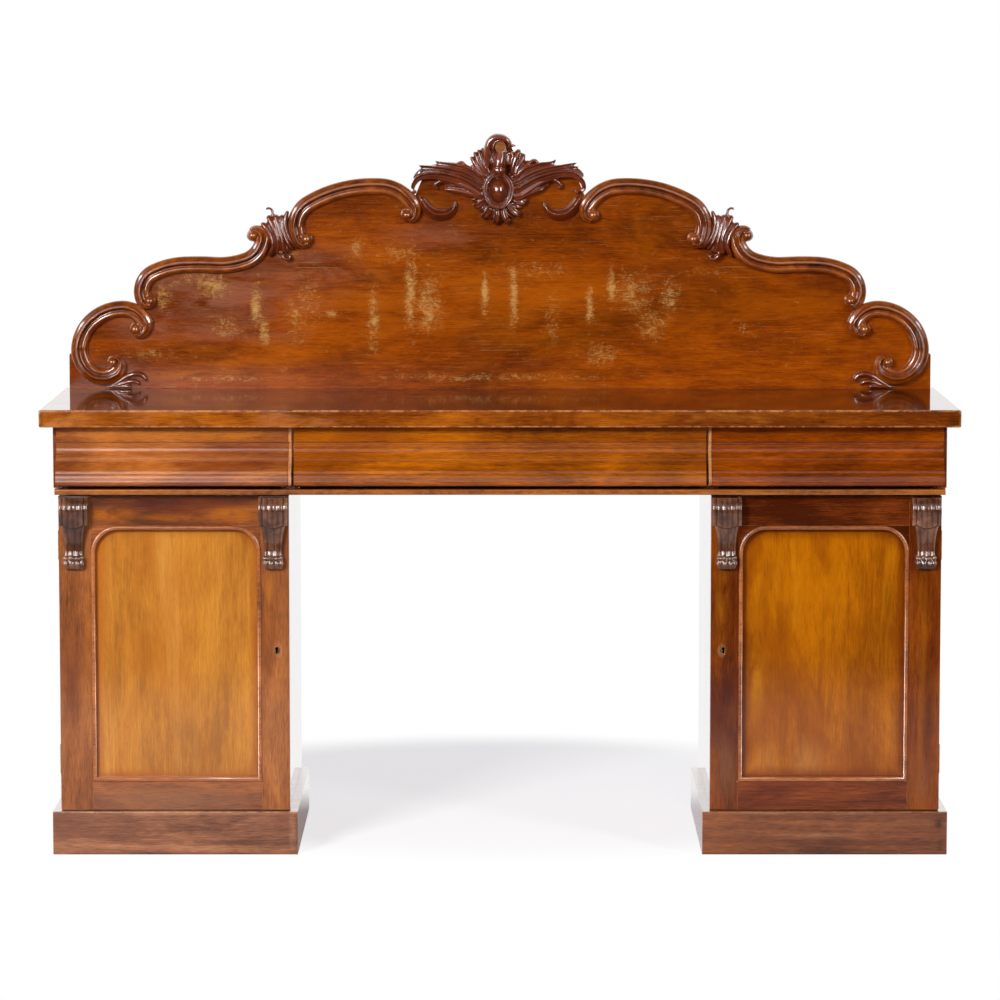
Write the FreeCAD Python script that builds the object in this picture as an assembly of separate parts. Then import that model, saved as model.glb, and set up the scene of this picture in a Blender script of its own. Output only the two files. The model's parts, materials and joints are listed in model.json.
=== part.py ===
import FreeCAD
import Part
import math
import os

# A twin pedestal sideboard with three drawers, two cupboards and a carved back board.
# Millimetres. X runs left to right, Y front to back, Z up from the floor.

# Worktop
top_width = 2000.0
top_depth = 600.0
top_height = 980.0
top_thick = 38.0
top_round = 4.0

# Drawer case under the worktop
top_overhang = 26.0
case_width = top_width - 2 * top_overhang
case_height = 148.0
case_board = 18.0
case_back_thick = 12.0
case_back_inset = 2.0
case_floor_thick = 12.0
lip_setback = 12.0
lip_depth = 60.0
lip_end_inset = 5.5
lip_round = 2.5
divider_centre = 456.7
divider_edge_width = 6.6
divider_edge_inset = 1.5

# Drawer fronts, measured back from the worktop's front edge
front_back_setback = 46.0
fascia_setback = 30.0
fascia_height = 32.0
quirk_depth = 5.0
quirk_height = 5.0
nose_setback = 4.0
nose_drop = 118.0
nose_under_setback = 14.0
nose_under_drop = 127.0
nose_return_setback = 26.0
nose_return_drop = 130.0
front_top_gap = 1.5
front_end_reveal = 8.5
front_side_gap = 0.8
front_centre_gap = 5.4

# Drawer boxes
box_side_thick = 10.0
box_bottom_thick = 7.0
box_groove_depth = 4.0
box_groove_rise = 7.0
box_side_gap = 1.5
box_run_gap = 0.3
box_top_gap = 12.0
box_rear_gap = 40.0
box_back_drop = 6.0

# Pedestals
pedestal_width = 502.5
pedestal_inset = 11.0
pedestal_side = 18.0
pedestal_board = 18.0
pedestal_back_thick = 10.0
pedestal_back_inset = 2.0
shelf_thick = 16.0
shelf_height = 330.0
shelf_front_inset = 40.0
bearer_size = 18.0
bearer_end_inset = 30.0

# Plinths
plinth_height = 95.0
plinth_setback = 20.0
plinth_project = 17.0
plinth_board = 36.0
plinth_round = 2.0

# Doors
door_thick = 22.0
door_setback = 38.0
door_back_gap = 0.5
door_top_gap = 5.0
door_bottom_gap = 1.5
hinge_stile = 70.0
lock_stile = 61.0
top_rail = 65.0
bottom_rail = 63.0
panel_thick = 8.0
panel_setback = 11.0
panel_lap = 10.0
panel_gap = 0.3
corner_radius = 60.0
spandrel_share = 0.84
bead_width = 9.0
bead_proud = 4.0
bead_round = 3.5
bead_gap = 0.2

# Corbels at the top corners of the doors
corbel_width = 64.0
corbel_height = 160.0
corbel_top_gap = 2.0
corbel_edge_inset = 2.0
corbel_project = 35.0
# half the front outline, as shares of width and height, and the side profile, as shares of
# projection and height
corbel_outline_shares = [(0.50, 0.00), (0.50, 0.41), (0.40, 0.41), (0.39, 0.72), (0.34, 0.80), (0.37, 0.93),
                         (0.37, 1.00)]
corbel_profile_shares = [(0.80, 0.00), (0.98, 0.10), (1.00, 0.22), (0.86, 0.36), (0.62, 0.46), (0.50, 0.58),
                         (0.42, 0.72), (0.50, 0.82), (0.62, 0.90), (0.52, 0.98), (0.38, 1.00)]

# Butt hinges
hinge_height = 64.0
hinge_leaf_thick = 2.0
hinge_leaf_width = 16.0
hinge_pin_radius = 1.6
hinge_pin_gap = 0.05
hinge_knuckle_radius = 3.4
hinge_knuckle_gap = 0.3
hinge_recess_gap = 0.3
hinge_seat_gap = 0.1
hinge_end_distance = 110.0
pin_head_height = 1.5

# Locks, bolts and keepers
keyhole_height = 453.0
keyhole_inset = 28.0
keyhole_head = 7.0
keyhole_slot = 4.8
keyhole_length = 14.5
escutcheon_wall = 0.8
lock_width = 54.0
lock_height = 72.0
lock_thick = 12.0
lock_side_gap = 2.0
bolt_height = 14.0
bolt_thick = 6.0
bolt_length = 34.0
bolt_rise = 10.0
bolt_setback = 3.0
bolt_gap = 0.3
bolt_end_inset = 0.5
bolt_travel = 9.0
keeper_thick = 1.5
keeper_height = 46.0
keeper_width = 14.0
keeper_hole_gap = 0.8
mortise_spare = 3.5

# Back board. The shares below are all of board_half: places are out from the middle and up
# from the worktop, and sizes are width and height
board_thick = 24.0
board_half = 988.0
board_step_share = 0.0789
# the top edge behind the crest, from the arch up to the peak
board_crest_shares = [(0.1903, 0.4615), (0.1800, 0.4860), (0.1130, 0.5030),
                      (0.0486, 0.5223), (0.0223, 0.5648)]
board_link_rise_share = 0.0223
dowel_radius = 6.0
dowel_length = 48.0
dowel_gap = 0.05
dowel_count = 5
dowel_spread_share = 0.84

# Scroll mouldings on the back board: each is a start, a heading and tangent arcs
scroll_half = 19.3
scroll_project = 28.0
scroll_edge = 8.0
# the moulded section from its outer edge inwards: shares of the half width and the projection
scroll_section_shares = [(0.72, 0.74), (0.30, 1.00), (-0.10, 0.56), (-0.42, 0.68), (-0.78, 0.66)]
end_start_share = (0.8229, 0.1498)
end_heading = 110.6
end_radius_shares = [0.0557, 0.1071, 0.0962, 0.0689, 0.0492]
end_turns = [71.4, 37.2, 41.4, 57.7, 80.9]
end_ball_shares = [(0.8452, 0.1385), (0.8987, 0.0621)]
shoulder_start_share = (0.8262, 0.2090)
shoulder_heading = 110.7
shoulder_radius_shares = [0.0489, 0.1784, 0.6791, 0.1806, 0.0618]
shoulder_turns = [-84.8, -23.3, -6.1, 23.1, 67.3]
shoulder_ball_shares = [(0.8116, 0.2041), (0.5721, 0.3558)]
arch_start_share = (0.4687, 0.3560)
arch_heading = 109.2
arch_radius_shares = [0.0622, 0.2844, 0.3051, 0.0895]
arch_turns = [-78.9, -17.5, -16.3, -55.2]
arch_ball_shares = [(0.4475, 0.3474), (0.2156, 0.4025)]
# each end curls over a ball, and a turned shoulder joins the ball to the moulding
ball_radius = 12.5
ball_project = 26.0
ball_round = 7.0
curl_radius = 18.0
curl_share = 0.4

# Carved clasps between the shoulder scrolls and the arches. Outline points are shares of
# the carving's own width and height
clasp_place_share = (0.5105, 0.3596)
clasp_size_share = (0.0908, 0.1232)
clasp_project = 32.0
clasp_shares = [(0.15, 0.97), (0.26, 1.00), (0.37, 0.90), (0.50, 0.87), (0.69, 0.96), (0.77, 0.88),
                (0.70, 0.70), (0.73, 0.52), (0.87, 0.34), (1.00, 0.24), (0.92, 0.20), (0.76, 0.17),
                (0.82, 0.06), (0.73, 0.00), (0.50, 0.13), (0.39, 0.17), (0.21, 0.06), (0.30, 0.29),
                (0.25, 0.46), (0.00, 0.69), (0.04, 0.78), (0.23, 0.86)]

# Carved leaves at the feet of the end scrolls
leaf_place_share = (0.8685, 0.0251)
leaf_size_share = (0.1057, 0.0468)
leaf_project = 18.0
leaf_shares = [(0.02, 0.08), (0.22, 0.32), (0.42, 0.70), (0.66, 0.98), (0.90, 0.92), (1.00, 0.60),
               (0.90, 0.38), (0.76, 0.28), (0.66, 0.08), (0.45, 0.00), (0.20, 0.00)]

# Carved crest in the middle
shell_place_share = (-0.0077, 0.4879)
shell_size_share = (0.1539, 0.2131)
shell_project = 26.0
shell_shares = [(0.03, 0.30), (0.18, 0.41), (0.20, 0.52), (0.11, 0.57), (0.00, 0.71), (0.03, 0.78),
                (0.12, 0.83), (0.21, 0.85), (0.24, 0.92), (0.30, 0.96), (0.41, 0.99), (0.54, 0.96),
                (0.62, 0.88), (0.68, 0.85), (0.74, 0.82), (0.80, 0.77), (0.87, 0.71), (0.95, 0.71),
                (1.00, 0.66), (0.89, 0.59), (0.70, 0.52), (0.72, 0.41), (0.84, 0.30), (0.85, 0.24),
                (0.79, 0.16), (0.72, 0.06), (0.62, 0.01), (0.45, 0.01), (0.30, 0.01), (0.16, 0.09),
                (0.10, 0.16)]
boss_place_share = (-0.0030, 0.4599)
boss_size_share = (0.0607, 0.0729)
boss_project = 38.0
crown_place_share = (-0.0030, 0.5597)
crown_size_share = (0.0445, 0.0445)
crown_project = 40.0
wing_place_share = (0.1275, 0.4866)
wing_size_share = (0.1605, 0.0829)
wing_project = 28.0
wing_shares = [(0.98, 0.02), (1.00, 0.43), (0.89, 0.85), (0.76, 0.99), (0.67, 0.95), (0.58, 0.91),
               (0.45, 1.00), (0.37, 0.91), (0.23, 0.93), (0.11, 0.76), (0.04, 0.53), (0.00, 0.25),
               (0.05, 0.05), (0.13, 0.16), (0.17, 0.36), (0.28, 0.50), (0.42, 0.53), (0.37, 0.34),
               (0.43, 0.16), (0.54, 0.24), (0.72, 0.18)]
crescent_place_share = (0.1420, 0.4169)
crescent_size_share = (0.0876, 0.0565)
crescent_project = 22.0
crescent_shares = [(0.02, 0.98), (0.15, 0.92), (0.34, 0.56), (0.57, 0.38), (0.81, 0.50), (0.93, 0.84),
                   (1.00, 0.74), (0.96, 0.38), (0.74, 0.09), (0.50, 0.00), (0.27, 0.11), (0.10, 0.45)]

# A cut runs this far past the solid that it opens
overrun = 2.0

# Places that follow from the sizes
front = -top_depth / 2
back = top_depth / 2
top_under = top_height - top_thick
case_floor = top_under - case_height
case_floor_top = case_floor + case_floor_thick
case_half = case_width / 2
front_back = front + front_back_setback
case_back = back - case_back_inset - case_back_thick
pedestal_out = case_half - pedestal_inset
pedestal_in = pedestal_out - pedestal_width
door_front = front + door_setback
door_back = door_front + door_thick
pedestal_front = door_back + door_back_gap
door_low = plinth_height + door_bottom_gap
door_high = case_floor - door_top_gap
board_face = back - board_thick


def box(x0, x1, y0, y1, z0, z1):
    corner = FreeCAD.Vector(min(x0, x1), y0, z0)
    return Part.makeBox(abs(x1 - x0), y1 - y0, z1 - z0, corner)


def face_from(edges):
    return Part.Face(Part.Wire(Part.__sortEdges__(edges)))


def polygon(points):
    return Part.Face(Part.makePolygon(points + points[:1]))


def mirrored(shape):
    return shape.mirror(FreeCAD.Vector(0, 0, 0), FreeCAD.Vector(1, 0, 0))


def save(name, solids):
    for solid in solids:
        if not solid.isValid() or solid.Volume <= 0:
            print("bad solid in", name)
    shape = solids[0] if len(solids) == 1 else Part.makeCompound(solids)
    shape.exportStep("parts/" + name + ".step")
    print(name, "solids", len(shape.Solids), "volume", round(shape.Volume))


def save_pair(name, solids):
    save(name + "_left", solids)
    save(name + "_right", [mirrored(solid) for solid in solids])


def arc_between(start, end, tangent):
    # a circular arc that leaves start along tangent and passes through end
    chord = end - start
    half = chord * 0.5
    along = FreeCAD.Vector(tangent).normalize()
    across = chord - along * chord.dot(along)
    radius = chord.Length ** 2 / (2 * across.Length)
    centre = start + across.normalize() * radius
    middle = start + half - centre
    if middle.dot(along) < 0:
        middle = middle * -1
    return Part.Arc(start, centre + middle.normalize() * radius, end).toShape()


# Worktop with its edges eased, and holes for the back board's dowels
def dowel_places():
    span = board_half * dowel_spread_share
    step = 2 * span / (dowel_count - 1)
    return [FreeCAD.Vector(-span + step * i, board_face + board_thick / 2, top_height)
            for i in range(dowel_count)]


def dowel(place, radius, length):
    return Part.makeCylinder(radius, length, place - FreeCAD.Vector(0, 0, length / 2))


def make_worktop():
    slab = box(-top_width / 2, top_width / 2, front, back, top_under, top_height)
    edges = [edge for edge in slab.Edges
             if edge.BoundBox.YMax < back or edge.BoundBox.YLength > top_depth / 2]
    slab = slab.makeFillet(top_round, edges)
    for place in dowel_places():
        slab = slab.cut(dowel(place, dowel_radius + dowel_gap, dowel_length + dowel_gap))
    save("worktop", [slab])


# Drawer case: two ends, two dividers, floor, front lip and back
def front_profile(top):
    # the cross section shared by the drawer fronts and the dividers' front edges
    def at(setback, drop):
        return FreeCAD.Vector(0, front + setback, top - drop)
    down = FreeCAD.Vector(0, 0, -1)
    corners = [at(front_back_setback, nose_return_drop), at(front_back_setback, 0), at(fascia_setback, 0),
               at(fascia_setback, fascia_height), at(fascia_setback + quirk_depth, fascia_height),
               at(fascia_setback + quirk_depth, fascia_height + quirk_height)]
    nose = at(nose_setback, nose_drop)
    turn = (corners[-1] + nose) * 0.5
    under = at(nose_under_setback, nose_under_drop)
    edges = [Part.makeLine(a, b) for a, b in zip(corners, corners[1:])]
    edges.append(arc_between(corners[-1], turn, down))
    edges.append(arc_between(nose, turn, down * -1))
    edges.append(arc_between(nose, under, down))
    edges.append(Part.makeLine(under, at(nose_return_setback, nose_return_drop)))
    edges.append(Part.makeLine(at(nose_return_setback, nose_return_drop), corners[0]))
    return face_from(edges)


def profile_bar(x0, x1, top):
    face = front_profile(top)
    face.translate(FreeCAD.Vector(x0, 0, 0))
    return face.extrude(FreeCAD.Vector(x1 - x0, 0, 0))


front_top = top_under - front_top_gap
divider_edge_out = -divider_centre - divider_edge_width / 2
divider_edge_in = -divider_centre + divider_edge_width / 2


def make_case():
    end = box(-case_half, -case_half + case_board, front_back, back, case_floor_top, top_under)
    save_pair("frieze_end", [end])
    divider = box(-divider_centre - case_board / 2, -divider_centre + case_board / 2,
                  front_back, case_back, case_floor_top, top_under)
    nosing = profile_bar(divider_edge_out, divider_edge_in, front_top)
    nosing.translate(FreeCAD.Vector(0, divider_edge_inset, 0))
    tongue = nosing.common(box(-case_half, case_half, front, front_back, case_floor_top, top_under))
    partition = divider.fuse(tongue).removeSplitter()
    save("frieze_partitions", [partition, mirrored(partition)])
    rear = box(-case_half + case_board, case_half - case_board, case_back, case_back + case_back_thick,
               case_floor_top, top_under)
    save("frieze_back", [rear])
    lip_front = front + lip_setback
    lip_half = case_half - lip_end_inset
    lip = box(-lip_half, lip_half, lip_front, lip_front + lip_depth, case_floor, case_floor_top)
    nose_edges = [edge for edge in lip.Edges
                  if edge.BoundBox.YMax < lip_front + lip_round and edge.BoundBox.XLength > case_half]
    save("frieze_lip", [lip.makeFillet(lip_round, nose_edges)])
    floor = box(-case_half, case_half, lip_front + lip_depth, back, case_floor, case_floor_top)
    save("frieze_floor", [floor])


# Drawers: a moulded front, two grooved sides with a back, and a bottom that slides in
def make_drawer(name, front_x0, front_x1, room_x0, room_x1):
    save("drawer_" + name + "_front", [profile_bar(front_x0, front_x1, front_top)])
    x0 = room_x0 + box_side_gap
    x1 = room_x1 - box_side_gap
    low = case_floor_top + box_run_gap
    high = top_under - box_top_gap
    rear = case_back - box_rear_gap
    groove_low = low + box_groove_rise
    groove = box(x0 + box_side_thick - box_groove_depth, x1 - box_side_thick + box_groove_depth,
                 front_back - overrun, rear + overrun, groove_low, groove_low + box_bottom_thick)
    left = box(x0, x0 + box_side_thick, front_back, rear, low, high).cut(groove)
    right = box(x1 - box_side_thick, x1, front_back, rear, low, high).cut(groove)
    rear_board = box(x0 + box_side_thick, x1 - box_side_thick, rear - box_side_thick, rear,
                     groove_low + box_bottom_thick, high - box_back_drop)
    save("drawer_" + name + "_box", [left, right, rear_board])
    bottom = box(x0 + box_side_thick - box_groove_depth, x1 - box_side_thick + box_groove_depth,
                 front_back, rear, groove_low, groove_low + box_bottom_thick)
    save("drawer_" + name + "_bottom", [bottom])


def make_drawers():
    outer_end = -case_half + front_end_reveal
    inner_end = divider_edge_out - front_side_gap
    room_out = -case_half + case_board
    room_in = -divider_centre - case_board / 2
    make_drawer("left", outer_end, inner_end, room_out, room_in)
    make_drawer("right", -inner_end, -outer_end, -room_in, -room_out)
    centre_end = divider_edge_in + front_centre_gap
    make_drawer("centre", centre_end, -centre_end, -divider_centre + case_board / 2,
                divider_centre - case_board / 2)


# Keyhole outline, as a solid along Y that cuts or fills a keyhole
keyhole_out = pedestal_in + keyhole_inset


def keyhole_bar(wall, y0, y1):
    head = keyhole_head / 2 + wall
    slot = keyhole_slot / 2 + wall
    along = FreeCAD.Vector(0, 1, 0)
    centre = FreeCAD.Vector(-keyhole_out, y0, keyhole_height)
    foot_low = keyhole_height - keyhole_length + keyhole_head / 2 + keyhole_slot / 2
    shape = Part.makeCylinder(head, y1 - y0, centre, along)
    shape = shape.fuse(box(-keyhole_out - slot, -keyhole_out + slot, y0, y1, foot_low, keyhole_height))
    foot = Part.makeCylinder(slot, y1 - y0, FreeCAD.Vector(-keyhole_out, y0, foot_low), along)
    return shape.fuse(foot).removeSplitter()


# Hinges stand at the outer back corner of each door, one near each end of the stile
hinge_y = door_back + door_back_gap / 2
hinge_low = door_low + hinge_end_distance - hinge_height / 2
hinge_high = door_high - hinge_end_distance - hinge_height / 2
knuckle_height = hinge_height / 3


def hinge_barrel(radius, low, high):
    return Part.makeCylinder(radius, high - low, FreeCAD.Vector(-pedestal_out, hinge_y, low))


def hinge_clearance(low):
    reach = pin_head_height + hinge_recess_gap
    return hinge_barrel(hinge_knuckle_radius + hinge_recess_gap, low - reach, low + hinge_height + reach)


def door_leaf(low):
    plate = box(-pedestal_out, -pedestal_out + hinge_leaf_width, door_back - hinge_leaf_thick, door_back,
                low, low + hinge_height)
    middle_low = low + knuckle_height + hinge_knuckle_gap
    middle_high = low + 2 * knuckle_height - hinge_knuckle_gap
    for z0, z1 in [(low, low + knuckle_height), (middle_high, low + hinge_height)]:
        plate = plate.cut(hinge_barrel(hinge_knuckle_radius + hinge_knuckle_gap, z0 - overrun,
                                       z1 + hinge_knuckle_gap))
    plate = plate.fuse(hinge_barrel(hinge_knuckle_radius, middle_low, middle_high))
    bore = hinge_barrel(hinge_pin_radius + hinge_pin_gap, low - overrun, low + hinge_height + overrun)
    return plate.cut(bore).removeSplitter()


def case_leaf(low):
    plate = box(-pedestal_out, -pedestal_out + hinge_leaf_width, pedestal_front,
                pedestal_front + hinge_leaf_thick, low, low + hinge_height)
    middle = hinge_barrel(hinge_knuckle_radius + hinge_knuckle_gap, low + knuckle_height,
                          low + 2 * knuckle_height)
    plate = plate.cut(middle)
    plate = plate.fuse(hinge_barrel(hinge_knuckle_radius, low, low + knuckle_height))
    plate = plate.fuse(hinge_barrel(hinge_knuckle_radius, low + 2 * knuckle_height, low + hinge_height))
    pin = hinge_barrel(hinge_pin_radius, low - pin_head_height, low + hinge_height + pin_head_height)
    return plate.fuse(pin).removeSplitter()


def leaf_seat(y0, y1, low):
    return box(-pedestal_out - overrun, -pedestal_out + hinge_leaf_width + hinge_seat_gap, y0, y1,
               low - hinge_seat_gap, low + hinge_height + hinge_seat_gap)


# Locks: the case screws to the inside of the door and its bolt shoots into the pedestal side
lock_x_in = pedestal_in + pedestal_side + lock_side_gap
bolt_low = keyhole_height + bolt_rise
bolt_y = door_back + bolt_setback
mortise_depth = bolt_travel - lock_side_gap - bolt_end_inset + mortise_spare


def bolt_bar(gap, inner_x, outer_x):
    return box(-outer_x, -inner_x, bolt_y - gap, bolt_y + bolt_thick + gap, bolt_low - gap,
               bolt_low + bolt_height + gap)


def make_lock():
    low = keyhole_height - lock_height / 2
    case = box(-lock_x_in - lock_width, -lock_x_in, door_back, door_back + lock_thick,
               low, low + lock_height)
    room_end = lock_x_in + bolt_length + bolt_gap + bolt_end_inset
    case = case.cut(bolt_bar(bolt_gap, lock_x_in - overrun, room_end))
    case = case.cut(keyhole_bar(0, door_back - overrun, door_back + lock_thick + overrun))
    escutcheon = keyhole_bar(escutcheon_wall, door_front, door_back)
    escutcheon = escutcheon.cut(keyhole_bar(0, door_front - overrun, door_back + overrun))
    save_pair("lock", [case, escutcheon])
    bolt = bolt_bar(0, lock_x_in + bolt_end_inset, lock_x_in + bolt_end_inset + bolt_length)
    save_pair("lock_bolt", [bolt])


def keeper_plate():
    inner_face = pedestal_in + pedestal_side
    middle = bolt_low + bolt_height / 2
    plate = box(-inner_face, -inner_face + keeper_thick, pedestal_front, pedestal_front + keeper_width,
                middle - keeper_height / 2, middle + keeper_height / 2)
    return plate


def make_keepers():
    hole = bolt_bar(keeper_hole_gap, pedestal_in, lock_x_in)
    plate = keeper_plate().cut(hole)
    save("keepers", [plate, mirrored(plate)])


# Doors: two stiles, two rails with corner spandrels, a panel, its bead and two corbels
opening_out = pedestal_out - hinge_stile
opening_in = pedestal_in + lock_stile
opening_low = door_low + bottom_rail
opening_high = door_high - top_rail


def arched_face(inset, y):
    # the panel opening: square at the foot, with quarter round top corners
    x0 = -opening_out + inset
    x1 = -opening_in - inset
    z0 = opening_low + inset
    z1 = opening_high - inset
    r = corner_radius - inset
    s = r * math.sqrt(0.5)
    p = [FreeCAD.Vector(x0, y, z0), FreeCAD.Vector(x1, y, z0), FreeCAD.Vector(x1, y, z1 - r),
         FreeCAD.Vector(x1 - r, y, z1), FreeCAD.Vector(x0 + r, y, z1), FreeCAD.Vector(x0, y, z1 - r)]
    right_mid = FreeCAD.Vector(x1 - r + s, y, z1 - r + s)
    left_mid = FreeCAD.Vector(x0 + r - s, y, z1 - r + s)
    edges = [Part.makeLine(p[0], p[1]), Part.makeLine(p[1], p[2]), Part.Arc(p[2], right_mid, p[3]).toShape(),
             Part.makeLine(p[3], p[4]), Part.Arc(p[4], left_mid, p[5]).toShape(), Part.makeLine(p[5], p[0])]
    return face_from(edges)


def make_door_frame():
    panel_front = door_front + panel_setback
    rebate = box(-opening_out - panel_lap, -opening_in + panel_lap, panel_front, door_back + overrun,
                 opening_low - panel_lap, opening_high + panel_lap)
    outer = box(-pedestal_out, -opening_out, door_front, door_back, door_low, door_high).cut(rebate)
    for low in (hinge_low, hinge_high):
        outer = outer.cut(leaf_seat(door_back - hinge_leaf_thick, door_back + overrun, low))
        outer = outer.cut(hinge_clearance(low))
    inner = box(-opening_in, -pedestal_in, door_front, door_back, door_low, door_high).cut(rebate)
    inner = inner.cut(keyhole_bar(escutcheon_wall, door_front - overrun, door_back + overrun))
    save_pair("door_stiles", [outer, inner])
    low_rail = box(-opening_out, -opening_in, door_front, door_back, door_low, opening_low).cut(rebate)
    high_rail = box(-opening_out, -opening_in, door_front, door_back, opening_high, door_high).cut(rebate)
    reach = corner_radius * spandrel_share
    corners = box(-opening_out, -opening_out + reach, door_front, panel_front,
                  opening_high - reach, opening_high)
    corners = corners.fuse(box(-opening_in - reach, -opening_in, door_front, panel_front,
                               opening_high - reach, opening_high))
    opening = arched_face(0, door_front - overrun).extrude(FreeCAD.Vector(0, door_thick + 2 * overrun, 0))
    save_pair("door_rails", [low_rail, high_rail] + corners.cut(opening).Solids)
    panel = box(-opening_out - panel_lap + panel_gap, -opening_in + panel_lap - panel_gap, panel_front,
                panel_front + panel_thick, opening_low - panel_lap + panel_gap,
                opening_high + panel_lap - panel_gap)
    save_pair("door_panel", [panel])


def make_bead():
    y = door_front - bead_proud
    depth = FreeCAD.Vector(0, bead_proud + panel_setback, 0)
    ring = arched_face(bead_gap, y).extrude(depth).cut(arched_face(bead_width, y).extrude(depth))
    edges = [edge for edge in ring.Edges if edge.BoundBox.YMax < y + bead_proud / 2]
    save_pair("door_bead", [ring.makeFillet(bead_round, edges)])


def corbel(x_left):
    top = door_high - corbel_top_gap
    x_mid = x_left + corbel_width / 2
    right = [FreeCAD.Vector(x_mid + corbel_width * a, front, top - corbel_height * b)
             for a, b in corbel_outline_shares]
    left = [FreeCAD.Vector(2 * x_mid - p.x, p.y, p.z) for p in reversed(right)]
    outline = polygon(right + left).extrude(FreeCAD.Vector(0, door_front - front, 0))
    curve = Part.BSplineCurve()
    curve.interpolate([FreeCAD.Vector(x_left, door_front - corbel_project * a, top - corbel_height * b)
                       for a, b in corbel_profile_shares])
    top_back = FreeCAD.Vector(x_left, door_front, top)
    foot_back = FreeCAD.Vector(x_left, door_front, top - corbel_height)
    edges = [curve.toShape(), Part.makeLine(curve.EndPoint, foot_back), Part.makeLine(foot_back, top_back),
             Part.makeLine(top_back, curve.StartPoint)]
    side = face_from(edges).extrude(FreeCAD.Vector(corbel_width, 0, 0))
    return side.common(outline).Solids[0]


def make_doors():
    make_door_frame()
    make_bead()
    outer = corbel(-pedestal_out + corbel_edge_inset)
    inner = corbel(-pedestal_in - corbel_edge_inset - corbel_width)
    save_pair("corbels", [outer, inner])
    save_pair("hinge_leaves", [door_leaf(hinge_low), door_leaf(hinge_high)])
    fixed = [case_leaf(hinge_low), case_leaf(hinge_high)]
    save("hinge_pins", fixed + [mirrored(leaf) for leaf in fixed])
    make_lock()
    make_keepers()


# Pedestals: sides, top and bottom boards, back, shelf on bearers, and a plinth
def make_pedestals():
    top = case_floor
    floor = plinth_height
    outer = box(-pedestal_out, -pedestal_out + pedestal_side, pedestal_front, back, floor, top)
    for low in (hinge_low, hinge_high):
        outer = outer.cut(leaf_seat(pedestal_front - overrun, pedestal_front + hinge_leaf_thick, low))
        outer = outer.cut(hinge_clearance(low))
    save_pair("pedestal_outer_side", [outer])
    inner = box(-pedestal_in - pedestal_side, -pedestal_in, pedestal_front, back, floor, top)
    inner = inner.cut(keeper_plate())
    mortise_end = pedestal_in + pedestal_side - mortise_depth
    inner = inner.cut(bolt_bar(keeper_hole_gap, mortise_end, lock_x_in))
    save_pair("pedestal_inner_side", [inner])
    x0 = -pedestal_out + pedestal_side
    x1 = -pedestal_in - pedestal_side
    rear = back - pedestal_back_inset - pedestal_back_thick
    boards = [box(x0, x1, pedestal_front, rear, floor, floor + pedestal_board),
              box(x0, x1, pedestal_front, rear, top - pedestal_board, top)]
    save_pair("pedestal_boards", boards)
    save_pair("pedestal_back", [box(x0, x1, rear, rear + pedestal_back_thick, floor, top)])
    shelf_z = floor + shelf_height
    shelf_front = pedestal_front + shelf_front_inset
    shelf = box(x0 + panel_gap, x1 - panel_gap, shelf_front, rear, shelf_z, shelf_z + shelf_thick)
    save("shelves", [shelf, mirrored(shelf)])
    bearer_front = shelf_front + bearer_end_inset
    bearers = [box(x0, x0 + bearer_size, bearer_front, rear, shelf_z - bearer_size, shelf_z),
               box(x1 - bearer_size, x1, bearer_front, rear, shelf_z - bearer_size, shelf_z)]
    save("shelf_bearers", bearers + [mirrored(bearer) for bearer in bearers])


def make_plinths():
    x0 = -pedestal_out - plinth_project
    x1 = -pedestal_in + plinth_project
    y0 = front + plinth_setback
    y1 = back
    t = plinth_board

    def mitred(points):
        corners = [FreeCAD.Vector(x, y, 0) for x, y in points]
        return polygon(corners).extrude(FreeCAD.Vector(0, 0, plinth_height))
    front_board = mitred([(x0, y0), (x1, y0), (x1 - t, y0 + t), (x0 + t, y0 + t)])
    back_board = mitred([(x0, y1), (x0 + t, y1 - t), (x1 - t, y1 - t), (x1, y1)])
    left_board = mitred([(x0, y0), (x0 + t, y0 + t), (x0 + t, y1 - t), (x0, y1)])
    right_board = mitred([(x1, y0), (x1, y1), (x1 - t, y1 - t), (x1 - t, y0 + t)])
    easing = [edge for edge in front_board.Edges
              if edge.BoundBox.ZMin > plinth_height / 2 and edge.BoundBox.YMax < y0 + plinth_round]
    front_board = front_board.makeFillet(plinth_round, easing)
    save_pair("plinth", [front_board, left_board, right_board, back_board])


# Scroll mouldings: a moulded section turned about each arc's centre in turn
def on_board(share):
    # a place on the left half of the back board, from its share of board_half out and up
    return FreeCAD.Vector(-board_half * share[0], 0, top_height + board_half * share[1])


def scroll_walk(start_share, heading, radius_shares, turns):
    # the arcs of a path on the left half, each with its start, heading, centre and end
    place = on_board(start_share)
    angle = math.radians(heading)
    steps = []
    for radius_share, turn in zip(radius_shares, turns):
        radius = board_half * radius_share
        side = 1 if turn > 0 else -1
        centre = place + FreeCAD.Vector(-math.sin(angle), 0, math.cos(angle)) * (radius * side)
        sweep = math.radians(turn)
        stops = []
        for part in (0.5, 1.0):
            a = angle + sweep * part
            stops.append(centre - FreeCAD.Vector(-math.sin(a), 0, math.cos(a)) * (radius * side))
        steps.append((place, angle, centre, turn, stops[0], stops[1]))
        place = stops[1]
        angle += sweep
    return steps


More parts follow.
